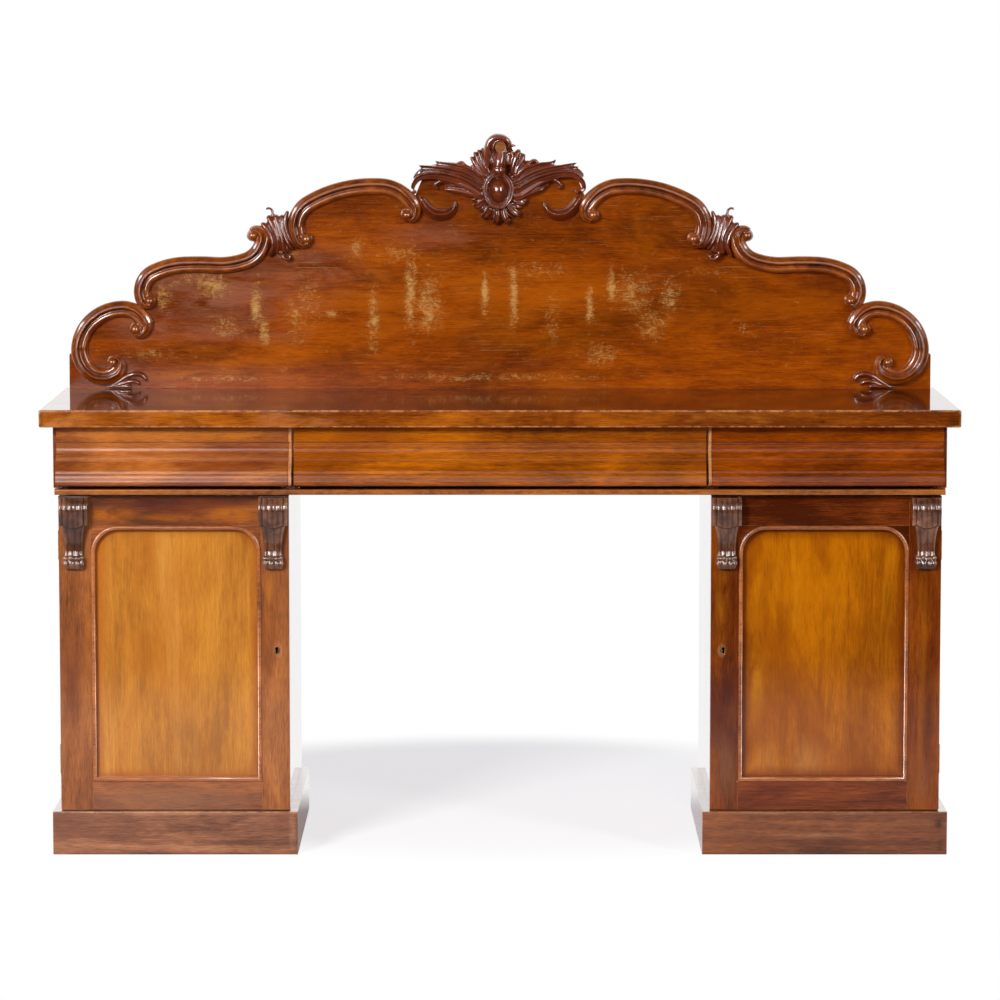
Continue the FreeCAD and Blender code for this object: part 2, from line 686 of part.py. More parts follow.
def scroll_section(place, angle, outside):
    # outside is 1 where the outer edge lies left of the heading, and -1 where it lies right
    left = FreeCAD.Vector(-math.sin(angle), 0, math.cos(angle)) * outside

    def at(across, height):
        return place + left * across + FreeCAD.Vector(0, board_face - height, 0)
    outer = at(scroll_half, scroll_edge)
    inner = at(-scroll_half, scroll_edge)
    slope, ridge, groove, rise, roll = [at(scroll_half * a, scroll_project * b)
                                        for a, b in scroll_section_shares]
    edges = [Part.makeLine(at(-scroll_half, 0), at(scroll_half, 0)),
             Part.makeLine(at(scroll_half, 0), outer),
             Part.Arc(outer, slope, ridge).toShape(), Part.Arc(ridge, groove, rise).toShape(),
             Part.Arc(rise, roll, inner).toShape(), Part.makeLine(inner, at(-scroll_half, 0))]
    return face_from(edges)


def button(centre, radius):
    # a round button planted on the board, with its front rim rounded over
    foot = centre + FreeCAD.Vector(0, board_face - ball_project, 0)
    disc = Part.makeCylinder(radius, ball_project, foot, FreeCAD.Vector(0, 1, 0))
    rim = [edge for edge in disc.Edges if edge.BoundBox.YMax < board_face - ball_project / 2]
    return disc.makeFillet(ball_round, rim)


def scroll_solid(steps, outside, ball_shares):
    solids = []
    for place, angle, centre, turn, middle, end in steps:
        axis = FreeCAD.Vector(0, -1 if turn > 0 else 1, 0)
        solids.append(scroll_section(place, angle, outside).revolve(centre, axis, abs(turn)))
    for place, share in zip([steps[0][0], steps[-1][5]], ball_shares):
        ball = on_board(share)
        solids.append(button(place + (ball - place) * curl_share, curl_radius))
        solids.append(button(ball, ball_radius))
    return solids[0].multiFuse(solids[1:]).removeSplitter()


end_steps = scroll_walk(end_start_share, end_heading, end_radius_shares, end_turns)
shoulder_steps = scroll_walk(shoulder_start_share, shoulder_heading, shoulder_radius_shares, shoulder_turns)
arch_steps = scroll_walk(arch_start_share, arch_heading, arch_radius_shares, arch_turns)


def make_scrolls():
    save_pair("scroll_end", [scroll_solid(end_steps, -1, end_ball_shares)])
    save_pair("scroll_shoulder", [scroll_solid(shoulder_steps, 1, shoulder_ball_shares)])
    save_pair("scroll_arch", [scroll_solid(arch_steps, 1, arch_ball_shares)])


# Back board: its top edge runs along the middle of the scroll mouldings
def board_edge():
    # the left half of the outline, from the foot of the end up to the middle of the crest
    shift = FreeCAD.Vector(0, board_face, 0)
    foot = on_board((0, 0)) + shift
    corner = on_board((1, 0)) + shift
    step = on_board((1, board_step_share)) + shift
    climb = end_steps[:3]
    edges = [Part.makeLine(foot, corner), Part.makeLine(corner, step),
             Part.makeLine(step, climb[-1][5] + shift)]
    for place, angle, centre, turn, middle, end in reversed(climb):
        edges.append(Part.Arc(end + shift, middle + shift, place + shift).toShape())
    edges.append(Part.makeLine(end_steps[0][0] + shift, shoulder_steps[0][0] + shift))
    for place, angle, centre, turn, middle, end in shoulder_steps:
        edges.append(Part.Arc(place + shift, middle + shift, end + shift).toShape())
    shoulder_end = shoulder_steps[-1][5] + shift
    arch_start = arch_steps[0][0] + shift
    link = (shoulder_end + arch_start) * 0.5 + FreeCAD.Vector(0, 0, board_half * board_link_rise_share)
    edges.append(Part.makeLine(shoulder_end, link))
    edges.append(Part.makeLine(link, arch_start))
    for place, angle, centre, turn, middle, end in arch_steps:
        edges.append(Part.Arc(place + shift, middle + shift, end + shift).toShape())
    crest = [arch_steps[-1][5] + shift] + [on_board(share) + shift for share in board_crest_shares]
    crest += [on_board((0, board_crest_shares[-1][1])) + shift, foot]
    for start, end in zip(crest, crest[1:]):
        edges.append(Part.makeLine(start, end))
    return edges


def make_back_board():
    half = face_from(board_edge()).extrude(FreeCAD.Vector(0, board_thick, 0))
    board = half.fuse(mirrored(half)).removeSplitter()
    for place in dowel_places():
        board = board.cut(dowel(place, dowel_radius + dowel_gap, dowel_length + dowel_gap))
    save("backboard", [board])
    save("backboard_dowels", [dowel(place, dowel_radius, dowel_length) for place in dowel_places()])


# Carvings: a closed curve through hand placed points, planted on the back board
def carving(place_share, size_share, project, shares):
    width = board_half * size_share[0]
    height = board_half * size_share[1]
    corner = on_board(place_share) + FreeCAD.Vector(-width / 2, board_face - project, -height / 2)
    curve = Part.BSplineCurve()
    points = [corner + FreeCAD.Vector(a * width, 0, b * height) for a, b in shares]
    curve.interpolate(points, PeriodicFlag=True)
    return Part.Face(Part.Wire([curve.toShape()])).extrude(FreeCAD.Vector(0, project, 0))


def dome(place_share, size_share, project):
    # the front half of an ellipsoid, planted on the back board
    radius = board_half * size_share[0] / 2
    ball = Part.makeSphere(radius)
    stretch = FreeCAD.Matrix()
    stretch.scale(FreeCAD.Vector(1, project / radius, size_share[1] / size_share[0]))
    ball = ball.transformGeometry(stretch)
    ball.translate(on_board(place_share) + FreeCAD.Vector(0, board_face, 0))
    return ball.common(box(-board_half, board_half, board_face - project - overrun, board_face, 0,
                           2 * top_height))


def largest(shape):
    return max(shape.Solids, key=lambda solid: solid.Volume)


def make_carvings():
    shoulder = scroll_solid(shoulder_steps, 1, shoulder_ball_shares)
    arch = scroll_solid(arch_steps, 1, arch_ball_shares)
    end = scroll_solid(end_steps, -1, end_ball_shares)
    clasp = carving(clasp_place_share, clasp_size_share, clasp_project, clasp_shares)
    clasp = largest(clasp.cut(shoulder).cut(arch))
    save("clasps", [clasp, mirrored(clasp)])
    leaf = carving(leaf_place_share, leaf_size_share, leaf_project, leaf_shares)
    leaf = largest(leaf.cut(end))
    save("foot_leaves", [leaf, mirrored(leaf)])
    shell = carving(shell_place_share, shell_size_share, shell_project, shell_shares)
    boss = dome(boss_place_share, boss_size_share, boss_project)
    crown = dome(crown_place_share, crown_size_share, crown_project)
    crown = crown.common(box(-board_half, board_half, front, back, 0, shell.BoundBox.ZMax))
    cartouche = shell.multiFuse([boss, crown]).removeSplitter()
    save("crest_cartouche", [cartouche])
    wing = carving(wing_place_share, wing_size_share, wing_project, wing_shares)
    save("crest_wing_left", [largest(wing.cut(cartouche).cut(arch))])
    save("crest_wing_right", [largest(mirrored(wing).cut(cartouche).cut(mirrored(arch)))])
    crescent = carving(crescent_place_share, crescent_size_share, crescent_project, crescent_shares)
    crescent = largest(crescent.cut(wing).cut(arch))
    save("crest_crescents", [crescent, mirrored(crescent)])


os.makedirs("parts", exist_ok=True)
make_worktop()
make_case()
make_drawers()
make_doors()
make_pedestals()
make_plinths()
make_scrolls()
make_back_board()
make_carvings()
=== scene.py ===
import json
import math
import random
import bpy
import bmesh
import numpy as np
from mathutils import Matrix, Vector


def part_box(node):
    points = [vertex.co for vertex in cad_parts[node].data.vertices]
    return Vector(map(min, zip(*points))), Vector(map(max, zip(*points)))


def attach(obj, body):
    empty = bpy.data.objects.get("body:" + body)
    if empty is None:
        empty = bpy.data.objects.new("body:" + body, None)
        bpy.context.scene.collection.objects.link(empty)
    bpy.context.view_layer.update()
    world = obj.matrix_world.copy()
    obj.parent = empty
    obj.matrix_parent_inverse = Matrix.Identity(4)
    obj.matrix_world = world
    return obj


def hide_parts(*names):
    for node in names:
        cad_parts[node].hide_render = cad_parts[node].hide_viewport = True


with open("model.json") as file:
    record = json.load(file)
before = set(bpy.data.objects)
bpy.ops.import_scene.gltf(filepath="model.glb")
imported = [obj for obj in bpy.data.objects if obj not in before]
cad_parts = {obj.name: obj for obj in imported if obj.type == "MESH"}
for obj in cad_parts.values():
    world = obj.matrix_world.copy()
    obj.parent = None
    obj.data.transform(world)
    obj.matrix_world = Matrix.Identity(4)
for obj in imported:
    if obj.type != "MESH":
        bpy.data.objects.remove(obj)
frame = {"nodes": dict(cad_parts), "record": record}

scene = bpy.context.scene
nodes = frame["nodes"]
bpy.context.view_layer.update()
bodyOf = {}
for bodyName, members in frame["record"]["behaviour"]["bodies"].items():
    for member in members:
        bodyOf[member] = bodyName
print("frame loaded:", len(nodes), "nodes")


# camera

cameraLook = {
    "place": (0.0, -9.794, 1.810),
    "tiltDown": 6.165,
    "lens": 158.37,
    "sensor": 36.0,
}


def makeCamera(look):
    data = bpy.data.cameras.new("camera")
    data.lens = look["lens"]
    data.sensor_width = look["sensor"]
    data.clip_end = 100.0
    camera = bpy.data.objects.new("camera", data)
    camera.location = look["place"]
    camera.rotation_euler = (math.radians(90 - look["tiltDown"]), 0, 0)
    scene.collection.objects.link(camera)
    scene.camera = camera


makeCamera(cameraLook)


# materials

def linear(byte):
    share = byte / 255
    return share / 12.92 if share <= 0.04045 else ((share + 0.055) / 1.055) ** 2.4


def colour(rgb):
    return tuple(linear(byte) for byte in rgb) + (1.0,)


def addNode(tree, kind, inputs=None, **settings):
    node = tree.nodes.new("ShaderNode" + kind)
    for name, value in settings.items():
        setattr(node, name, value)
    for key, value in (inputs or {}).items():
        socket = node.inputs[key]
        if isinstance(value, bpy.types.NodeSocket):
            tree.links.new(value, socket)
        else:
            socket.default_value = value
    return node


def calc(tree, operation, a, b=0.5, clamp=False):
    return addNode(tree, "Math", {0: a, 1: b}, operation=operation, use_clamp=clamp).outputs[0]


def product(tree, *factors):
    total = factors[0]
    for factor in factors[1:]:
        total = calc(tree, "MULTIPLY", total, factor)
    return total


def blendColour(tree, factor, a, b):
    return addNode(tree, "Mix", {0: factor, 6: a, 7: b}, data_type="RGBA").outputs[2]


def blendValue(tree, factor, a, b):
    return addNode(tree, "Mix", {0: factor, 2: a, 3: b}, data_type="FLOAT").outputs[0]


def blendShader(tree, factor, a, b):
    return addNode(tree, "MixShader", {0: factor, 1: a.outputs[0], 2: b.outputs[0]})


def axesOf(tree, vector):
    return addNode(tree, "SeparateXYZ", {0: vector}).outputs


def lengthOf(tree, vector):
    return addNode(tree, "VectorMath", {0: vector}, operation="LENGTH").outputs["Value"]


def noise(tree, vector, scale, detail=3.0, rough=0.55, distortion=0.0):
    node = addNode(tree, "TexNoise", {"Vector": vector, "Scale": scale, "Detail": detail,
                   "Roughness": rough, "Distortion": distortion})
    return node.outputs[0]


def figure(tree, vector, factors, *settings):  # noise that is drawn out along the grain
    stretched = addNode(tree, "VectorMath", {0: vector, 1: factors}, operation="MULTIPLY").outputs[0]
    return noise(tree, stretched, 1.0, *settings)


def between(tree, value, low, high):  # 0 at low, 1 at high, smooth between them
    node = addNode(tree, "MapRange", {"Value": value, "From Min": low, "From Max": high},
                   interpolation_type="SMOOTHSTEP")
    return node.outputs[0]


def attribute(tree, name):
    return addNode(tree, "Attribute", attribute_name=name).outputs["Fac"]


def addParts(tree, parts):  # a tone about a half, made of several patterns with a share for each
    tone = 0.5 - sum(share for source, share in parts) / 2
    for source, share in parts:
        inputs = {0: source, 1: share, 2: tone}
        tone = addNode(tree, "Math", inputs, operation="MULTIPLY_ADD").outputs[0]
    return tone


def ramp(tree, value, stops):
    node = addNode(tree, "ValToRGB", {0: value})
    elements = node.color_ramp.elements
    while len(elements) < len(stops):
        elements.new(0.5)
    for element, (place, rgb) in zip(elements, stops):
        element.position = place
        element.color = colour(rgb)
    return node.outputs[0]


def newTree(name):
    material = bpy.data.materials.new(name)
    material.use_nodes = True
    tree = material.node_tree
    tree.nodes.clear()
    return material, tree, addNode(tree, "TexCoord").outputs["Object"]


def grainCoords(tree, place, grain):  # the first axis runs along the grain, and each board has its own start
    shift = addNode(tree, "VectorMath", {0: (7.1, 3.7, 5.3), "Scale": attribute(tree, "seed")},
                    operation="SCALE").outputs[0]
    moved = addNode(tree, "VectorMath", {0: place, 1: shift}, operation="ADD").outputs[0]
    axes = axesOf(tree, moved)
    order = {"X": (0, 2, 1), "Y": (1, 0, 2), "Z": (2, 0, 1)}[grain]
    return addNode(tree, "CombineXYZ", {i: axes[order[i]] for i in range(3)}).outputs[0]


def toneStops(mid, spread):  # a darker, redder and a lighter, yellower neighbour of a colour
    deep = [byte * (1 - spread * more) for byte, more in zip(mid, (1.0, 1.2, 1.3))]
    light = [min(byte * (1 + spread * more), 255) for byte, more in zip(mid, (0.7, 1.0, 1.3))]
    return [(0.2, deep), (0.5, mid), (0.8, light)]


def polish(tree, material, base, rough, look, height):
    bump = addNode(tree, "Bump", {"Height": height, "Strength": look["bump"], "Distance": 0.0004})
    shader = addNode(tree, "BsdfPrincipled", {"Base Color": base, "Roughness": rough,
                     "Normal": bump.outputs[0], "IOR": 1.5, "Specular IOR Level": look["sheen"],
                     "Coat Weight": look["coat"], "Coat Roughness": look["coatRough"], "Coat IOR": 1.5})
    addNode(tree, "OutputMaterial", {0: shader.outputs[0]})
    return material


def edgeShadeMask(tree, place, look):  # darkening along the bead round a panel, with arched top corners: the narrow dark ring is painted shade in the gap by the bead, the wide ring darkens the panel's margin
    low, high = look["box"]
    radius = look["corner"]
    axes = axesOf(tree, place)
    x = calc(tree, "ABSOLUTE", calc(tree, "SUBTRACT", axes[0], (low.x + high.x) / 2))
    side = calc(tree, "SUBTRACT", x, (high.x - low.x) / 2 - radius)
    top = calc(tree, "SUBTRACT", axes[2], high.z - radius)
    bottom = calc(tree, "SUBTRACT", low.z + radius, axes[2])
    corner = addNode(tree, "CombineXYZ", {0: calc(tree, "MAXIMUM", side, 0.0),
                     1: calc(tree, "MAXIMUM", top, 0.0)}).outputs[0]
    out = lengthOf(tree, corner)
    gap = calc(tree, "SUBTRACT", radius, calc(tree, "MAXIMUM", out, bottom))
    ragged = calc(tree, "MULTIPLY", noise(tree, place, 22.0, 5.0, 0.65), look["ragged"])
    gap = calc(tree, "SUBTRACT", gap, calc(tree, "SUBTRACT", ragged, look["ragged"] / 2))
    return product(tree, between(tree, gap, look["reach"], 0.0), look["strength"])


def spotField(tree, place, spots):  # soft ovals on the front: x, z, half width, half height, strength
    fields = 0.0
    for x, z, halfWidth, halfHeight, strength in spots:
        mapping = {"Vector": place, "Location": (x / 1000, 0, z / 1000),
                   "Scale": (halfWidth / 1000 * 1.5, 1000.0, halfHeight / 1000 * 1.5)}
        local = addNode(tree, "Mapping", mapping, vector_type="TEXTURE").outputs[0]
        reach = lengthOf(tree, local)
        field = product(tree, between(tree, reach, 1.0, 0.0), strength)
        fields = calc(tree, "MAXIMUM", field, fields)
    return fields


def rubbedPatches(tree, place, look):  # where the polish is rubbed thin, in brushed and hatched marks
    mottle = figure(tree, place, (52.0, 1.0, 60.0), 9.0, 0.85, 0.8)
    hatch = figure(tree, place, (70.0, 1.0, 520.0), 4.0, 0.75, 0.5)
    marks = addParts(tree, [(mottle, look["mottleShare"]), (hatch, look["hatchShare"])])
    spots = calc(tree, "MULTIPLY", spotField(tree, place, look["spots"]), look["spotShare"])
    level = calc(tree, "ADD", marks, spots)
    return product(tree, between(tree, level, *look["bare"]), look["strength"])


def brushMarks(tree, along, look):  # long fine scratches in the polish, along the grain
    line = figure(tree, along, (12.0, 360.0, 360.0), 4.0, 0.7, 0.6)
    where = figure(tree, along, (5.0, 12.0, 12.0), 3.0, 0.6)
    return product(tree, between(tree, line, 0.56, 0.68), between(tree, where, 0.46, 0.66), look["strength"])


def woodFinish(name, look):
    material, tree, place = newTree(name)
    along = grainCoords(tree, place, look["grain"])
    cloud = figure(tree, along, (2.6, 6.5, 6.5), 4.0, 0.65, 0.5)
    band = figure(tree, along, look["bandSize"], 5.0, 0.62, look["bandWarp"])
    streak = figure(tree, along, (9.0, 190.0, 190.0), 5.0, 0.75, 0.3)
    fibre = figure(tree, along, (42.0, 560.0, 560.0), 3.0, 0.7)
    tone = addParts(tree, [(cloud, look["cloudShare"]), (band, look["bandShare"]),
                           (streak, look["streakShare"]), (fibre, look["fibreShare"])])
    tone = calc(tree, "ADD", tone, attribute(tree, "tone"))
    base = ramp(tree, tone, toneStops(look["mid"], look["spread"]))
    for size, warp, low, high, strength, rgb in look["clouds"]:
        drift = figure(tree, along, size, 5.0, 0.62, warp)
        base = blendColour(tree, product(tree, between(tree, drift, low, high), strength), base, colour(rgb))
    for rgb, solid, spots in look["stains"]:
        ragged = figure(tree, along, (7.0, 22.0, 22.0), 6.0, 0.68, 0.8)
        ragged = between(tree, ragged, 0.38 - solid, 0.68 - solid)
        mask = product(tree, spotField(tree, place, spots), ragged)
        base = blendColour(tree, mask, base, colour(rgb))
    pores = between(tree, figure(tree, along, (30.0, 900.0, 900.0), 2.0), 0.55, 0.68)
    specks = between(tree, noise(tree, place, 210.0, 2.0, 0.5), 0.70, 0.76)
    dark = calc(tree, "MAXIMUM", product(tree, pores, look["pores"]), product(tree, specks, look["specks"]))
    base = blendColour(tree, dark, base, colour(look["poreColour"]))
    rough = calc(tree, "ADD", calc(tree, "MULTIPLY", cloud, 0.16), look["rough"] - 0.08)
    # rings darkened along a panel's bead: the narrow one is painted shade
    for ring in look["grime"]:
        base = blendColour(tree, edgeShadeMask(tree, place, ring), base, colour(ring["colour"]))
    if "brushed" in look:
        mask = brushMarks(tree, along, look["brushed"])
        base = blendColour(tree, mask, base, colour(look["brushed"]["colour"]))
    if "patches" in look:
        mask = rubbedPatches(tree, place, look["patches"])
        base = blendColour(tree, mask, base, colour(look["patches"]["colour"]))
        rough = calc(tree, "ADD", rough, calc(tree, "MULTIPLY", mask, 0.2))
    rub = between(tree, noise(tree, along, 60.0, 5.0, 0.7), 0.40, 0.62)
    worn = calc(tree, "ADD", attribute(tree, "worn"), look["rubbed"], True)
    base = blendColour(tree, product(tree, worn, rub, look["worn"]), base, colour(look["wornColour"]))
    height = calc(tree, "SUBTRACT", calc(tree, "MULTIPLY", streak, 0.6), pores)
    return polish(tree, material, base, rough, look, height)


def carvedFinish(name, look):  # darker in the grooves, paler on the ridges: partly old dirt in the grooves and rubbing by hands and dusters on the ridges, partly painted shade in the hollows
    material, tree, place = newTree(name)
    relief = attribute(tree, "relief")
    cloud = noise(tree, place, 16.0, 4.0, 0.6, 0.4)
    fine = figure(tree, place, (60.0, 240.0, 60.0), 4.0, 0.6)
    tone = addParts(tree, [(relief, 1.0), (cloud, look["cloudShare"]), (fine, look["fineShare"])])
    base = ramp(tree, tone, list(zip((0.15, 0.5, 0.75, 0.95), look["colours"])))
    rough = calc(tree, "SUBTRACT", look["rough"], calc(tree, "MULTIPLY", relief, 0.16))
    return polish(tree, material, base, rough, look, fine)


def brassFinish(name, look):
    material, tree, place = newTree(name)
    stain = noise(tree, place, 90.0, 6.0, 0.65)
    base = ramp(tree, stain, [(0.3, look["deep"]), (0.55, look["mid"]), (0.8, look["light"])])
    rough = calc(tree, "ADD", calc(tree, "MULTIPLY", stain, 0.35), look["rough"])
    bump = addNode(tree, "Bump", {"Height": stain, "Strength": 0.2, "Distance": 0.0002})
    shader = addNode(tree, "BsdfPrincipled", {"Base Color": base, "Roughness": rough,
                     "Metallic": 1.0, "Normal": bump.outputs[0]})
    addNode(tree, "OutputMaterial", {0: shader.outputs[0]})
    return material


plainLook = {
    "grain": "X", "mid": (144, 76, 24), "spread": 0.34, "bandSize": (1.2, 16.0, 16.0), "bandWarp": 1.2,
    "cloudShare": 1.5, "bandShare": 0.7, "streakShare": 0.75, "fibreShare": 0.8, "pores": 0.5,
    "clouds": [], "stains": [], "grime": [],
    "poreColour": (48, 16, 2), "specks": 0.6, "rough": 0.34, "bump": 0.22, "sheen": 0.2, "coat": 0.9,
    "coatRough": 0.10, "worn": 0.7, "wornColour": (200, 132, 64), "rubbed": 0.0,
}


def woodLook(**changes):
    look = dict(plainLook)
    look.update(changes)
    return look


def redClouds(rgb, strength=0.6):
    return [((1.7, 4.0, 4.0), 0.8, 0.46, 0.66, strength, rgb)]


boardPatches = {  # x, z, half width and half height in millimetres, and how bare it is
    "strength": 0.80, "colour": (206, 162, 92), "mottleShare": 1.35, "hatchShare": 0.70, "spotShare": 0.36,
    "bare": (0.60, 1.00), "spots": [
        (-655, 1213, 42, 32, 0.9), (-700, 1235, 60, 20, 0.6), (-560, 1170, 16, 62, 1.0),
        (-540, 1110, 14, 40, 0.9), (-500, 1290, 60, 16, 0.6), (-385, 1152, 24, 10, 0.9),
        (-440, 1180, 40, 60, 0.5), (-205, 1200, 20, 110, 0.9), (-165, 1170, 40, 80, 0.8),
        (-35, 1200, 12, 60, 1.0), (32, 1190, 12, 84, 1.0), (90, 1250, 90, 20, 0.5),
        (205, 1170, 12, 60, 0.9), (255, 1215, 14, 50, 0.9), (300, 1200, 60, 56, 0.7),
        (345, 1130, 40, 50, 0.6), (390, 1190, 30, 60, 0.6), (230, 1060, 50, 30, 0.6),
        (-30, 1006, 330, 11, 0.55), (480, 1250, 60, 18, 0.4), (-600, 1002, 180, 8, 0.5),
        (-330, 1300, 30, 40, 0.5), (560, 1120, 40, 30, 0.4), (-770, 1190, 26, 46, 0.6),
        (-630, 1120, 50, 26, 0.6), (-470, 1140, 26, 60, 0.6), (-290, 1140, 18, 90, 0.7),
        (-800, 1060, 60, 16, 0.5), (-240, 1290, 60, 30, 0.5), (120, 1140, 24, 60, 0.5)],
}

# stains: colour, how solid, and spots as x, z, half width, half height in millimetres and strength
boardStains = [
    # violet grey on the left: milky bloom in the polish and painted haze of the lamp's reflection
    ((156, 100, 76), 0.04, [(-640, 1200, 230, 80, 0.62), (-800, 1140, 90, 60, 0.7),
     (-420, 1250, 130, 60, 0.5), (-640, 1110, 200, 30, 0.5), (-150, 1330, 120, 30, 0.4),
     (-880, 1010, 50, 40, 0.7)]),
    ((180, 94, 12), 0.03, [(-600, 1060, 190, 36, 0.8), (-700, 1010, 150, 20, 0.6),
     (-290, 1180, 90, 120, 0.6), (-60, 1230, 160, 70, 0.5), (150, 1200, 260, 60, 0.4),
     (-330, 1120, 140, 40, 0.5)]),
    ((94, 36, 8), 0.02, [(100, 1372, 330, 46, 0.7), (-330, 1366, 120, 40, 0.6),
     (760, 1240, 90, 50, 0.6), (-340, 1020, 160, 34, 0.5), (850, 1050, 60, 50, 0.6),
     (500, 1320, 120, 40, 0.4)]),
    ((150, 84, 8), 0.05, [(60, 1120, 200, 50, 0.4), (-20, 1390, 60, 30, 0.6),
     (-180, 1400, 60, 24, 0.5), (170, 1395, 60, 24, 0.6)]),
]
slabStains = [
    # darker towards the right end: partly the top's own tone, partly painted shade away from the left lamp
    ((92, 34, 6), 0.14, [(860, 955, 240, 120, 0.75), (420, 955, 420, 120, 0.55),
     (70, 960, 110, 60, 0.55), (-300, 950, 90, 40, 0.4)]),
    ((190, 118, 66), 0.02, [(-960, 960, 90, 60, 0.6), (-480, 960, 50, 60, 0.6),
     (-390, 965, 30, 50, 0.6), (-700, 950, 120, 50, 0.5)]),
    ((40, 12, 4), 0.03, [(985, 945, 16, 34, 0.8), (-996, 950, 8, 30, 0.8),
     (598, 962, 7, 7, 0.7), (700, 954, 8, 5, 0.6), (-50, 958, 6, 8, 0.6)]),
]
plinthStains = [  # darker along the floor, knocks at the corners and darker figure in the boards
    ((44, 22, 14), 0.12, [(-700, 0, 320, 5, 0.9), (700, 0, 320, 5, 0.9)]),
    ((84, 42, 24), 0.03, [(-640, 62, 160, 9, 0.8), (-880, 34, 90, 8, 0.7),
     (-560, 24, 110, 7, 0.6), (560, 60, 90, 12, 0.8), (860, 70, 80, 10, 0.7), (720, 26, 160, 8, 0.6)]),
    ((186, 140, 104), 0.02, [(-700, 92, 260, 4, 0.7), (700, 92, 260, 4, 0.5),
     (-455, 50, 8, 40, 0.6), (640, 44, 120, 6, 0.5)]),
    ((26, 12, 8), 0.1, [(962, 68, 10, 16, 0.9), (966, 20, 8, 14, 0.7)]),
]
keyhole = {"left": (-484.5, 449.0), "right": (484.5, 449.0)}


def keyholeStains(hand):  # fingers have rubbed round the keyhole; the dark oval over it is painted shade of the hole
    x, z = keyhole[hand]
    return [((186, 134, 92), 0.3, [(x, z, 8, 13, 0.8)]),
            ((24, 8, 3), 0.3, [(x, z, 4.4, 9.5, 1.0)])]


def panelEdgeShade(hand, *rings):  # each ring: how far in it reaches, how ragged and strong it is, its colour
    shared = {"box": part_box("door_bead_" + hand), "corner": 0.066}
    return [{**shared, "reach": reach, "ragged": ragged, "strength": strength, "colour": rgb}
            for reach, ragged, strength, rgb in rings]
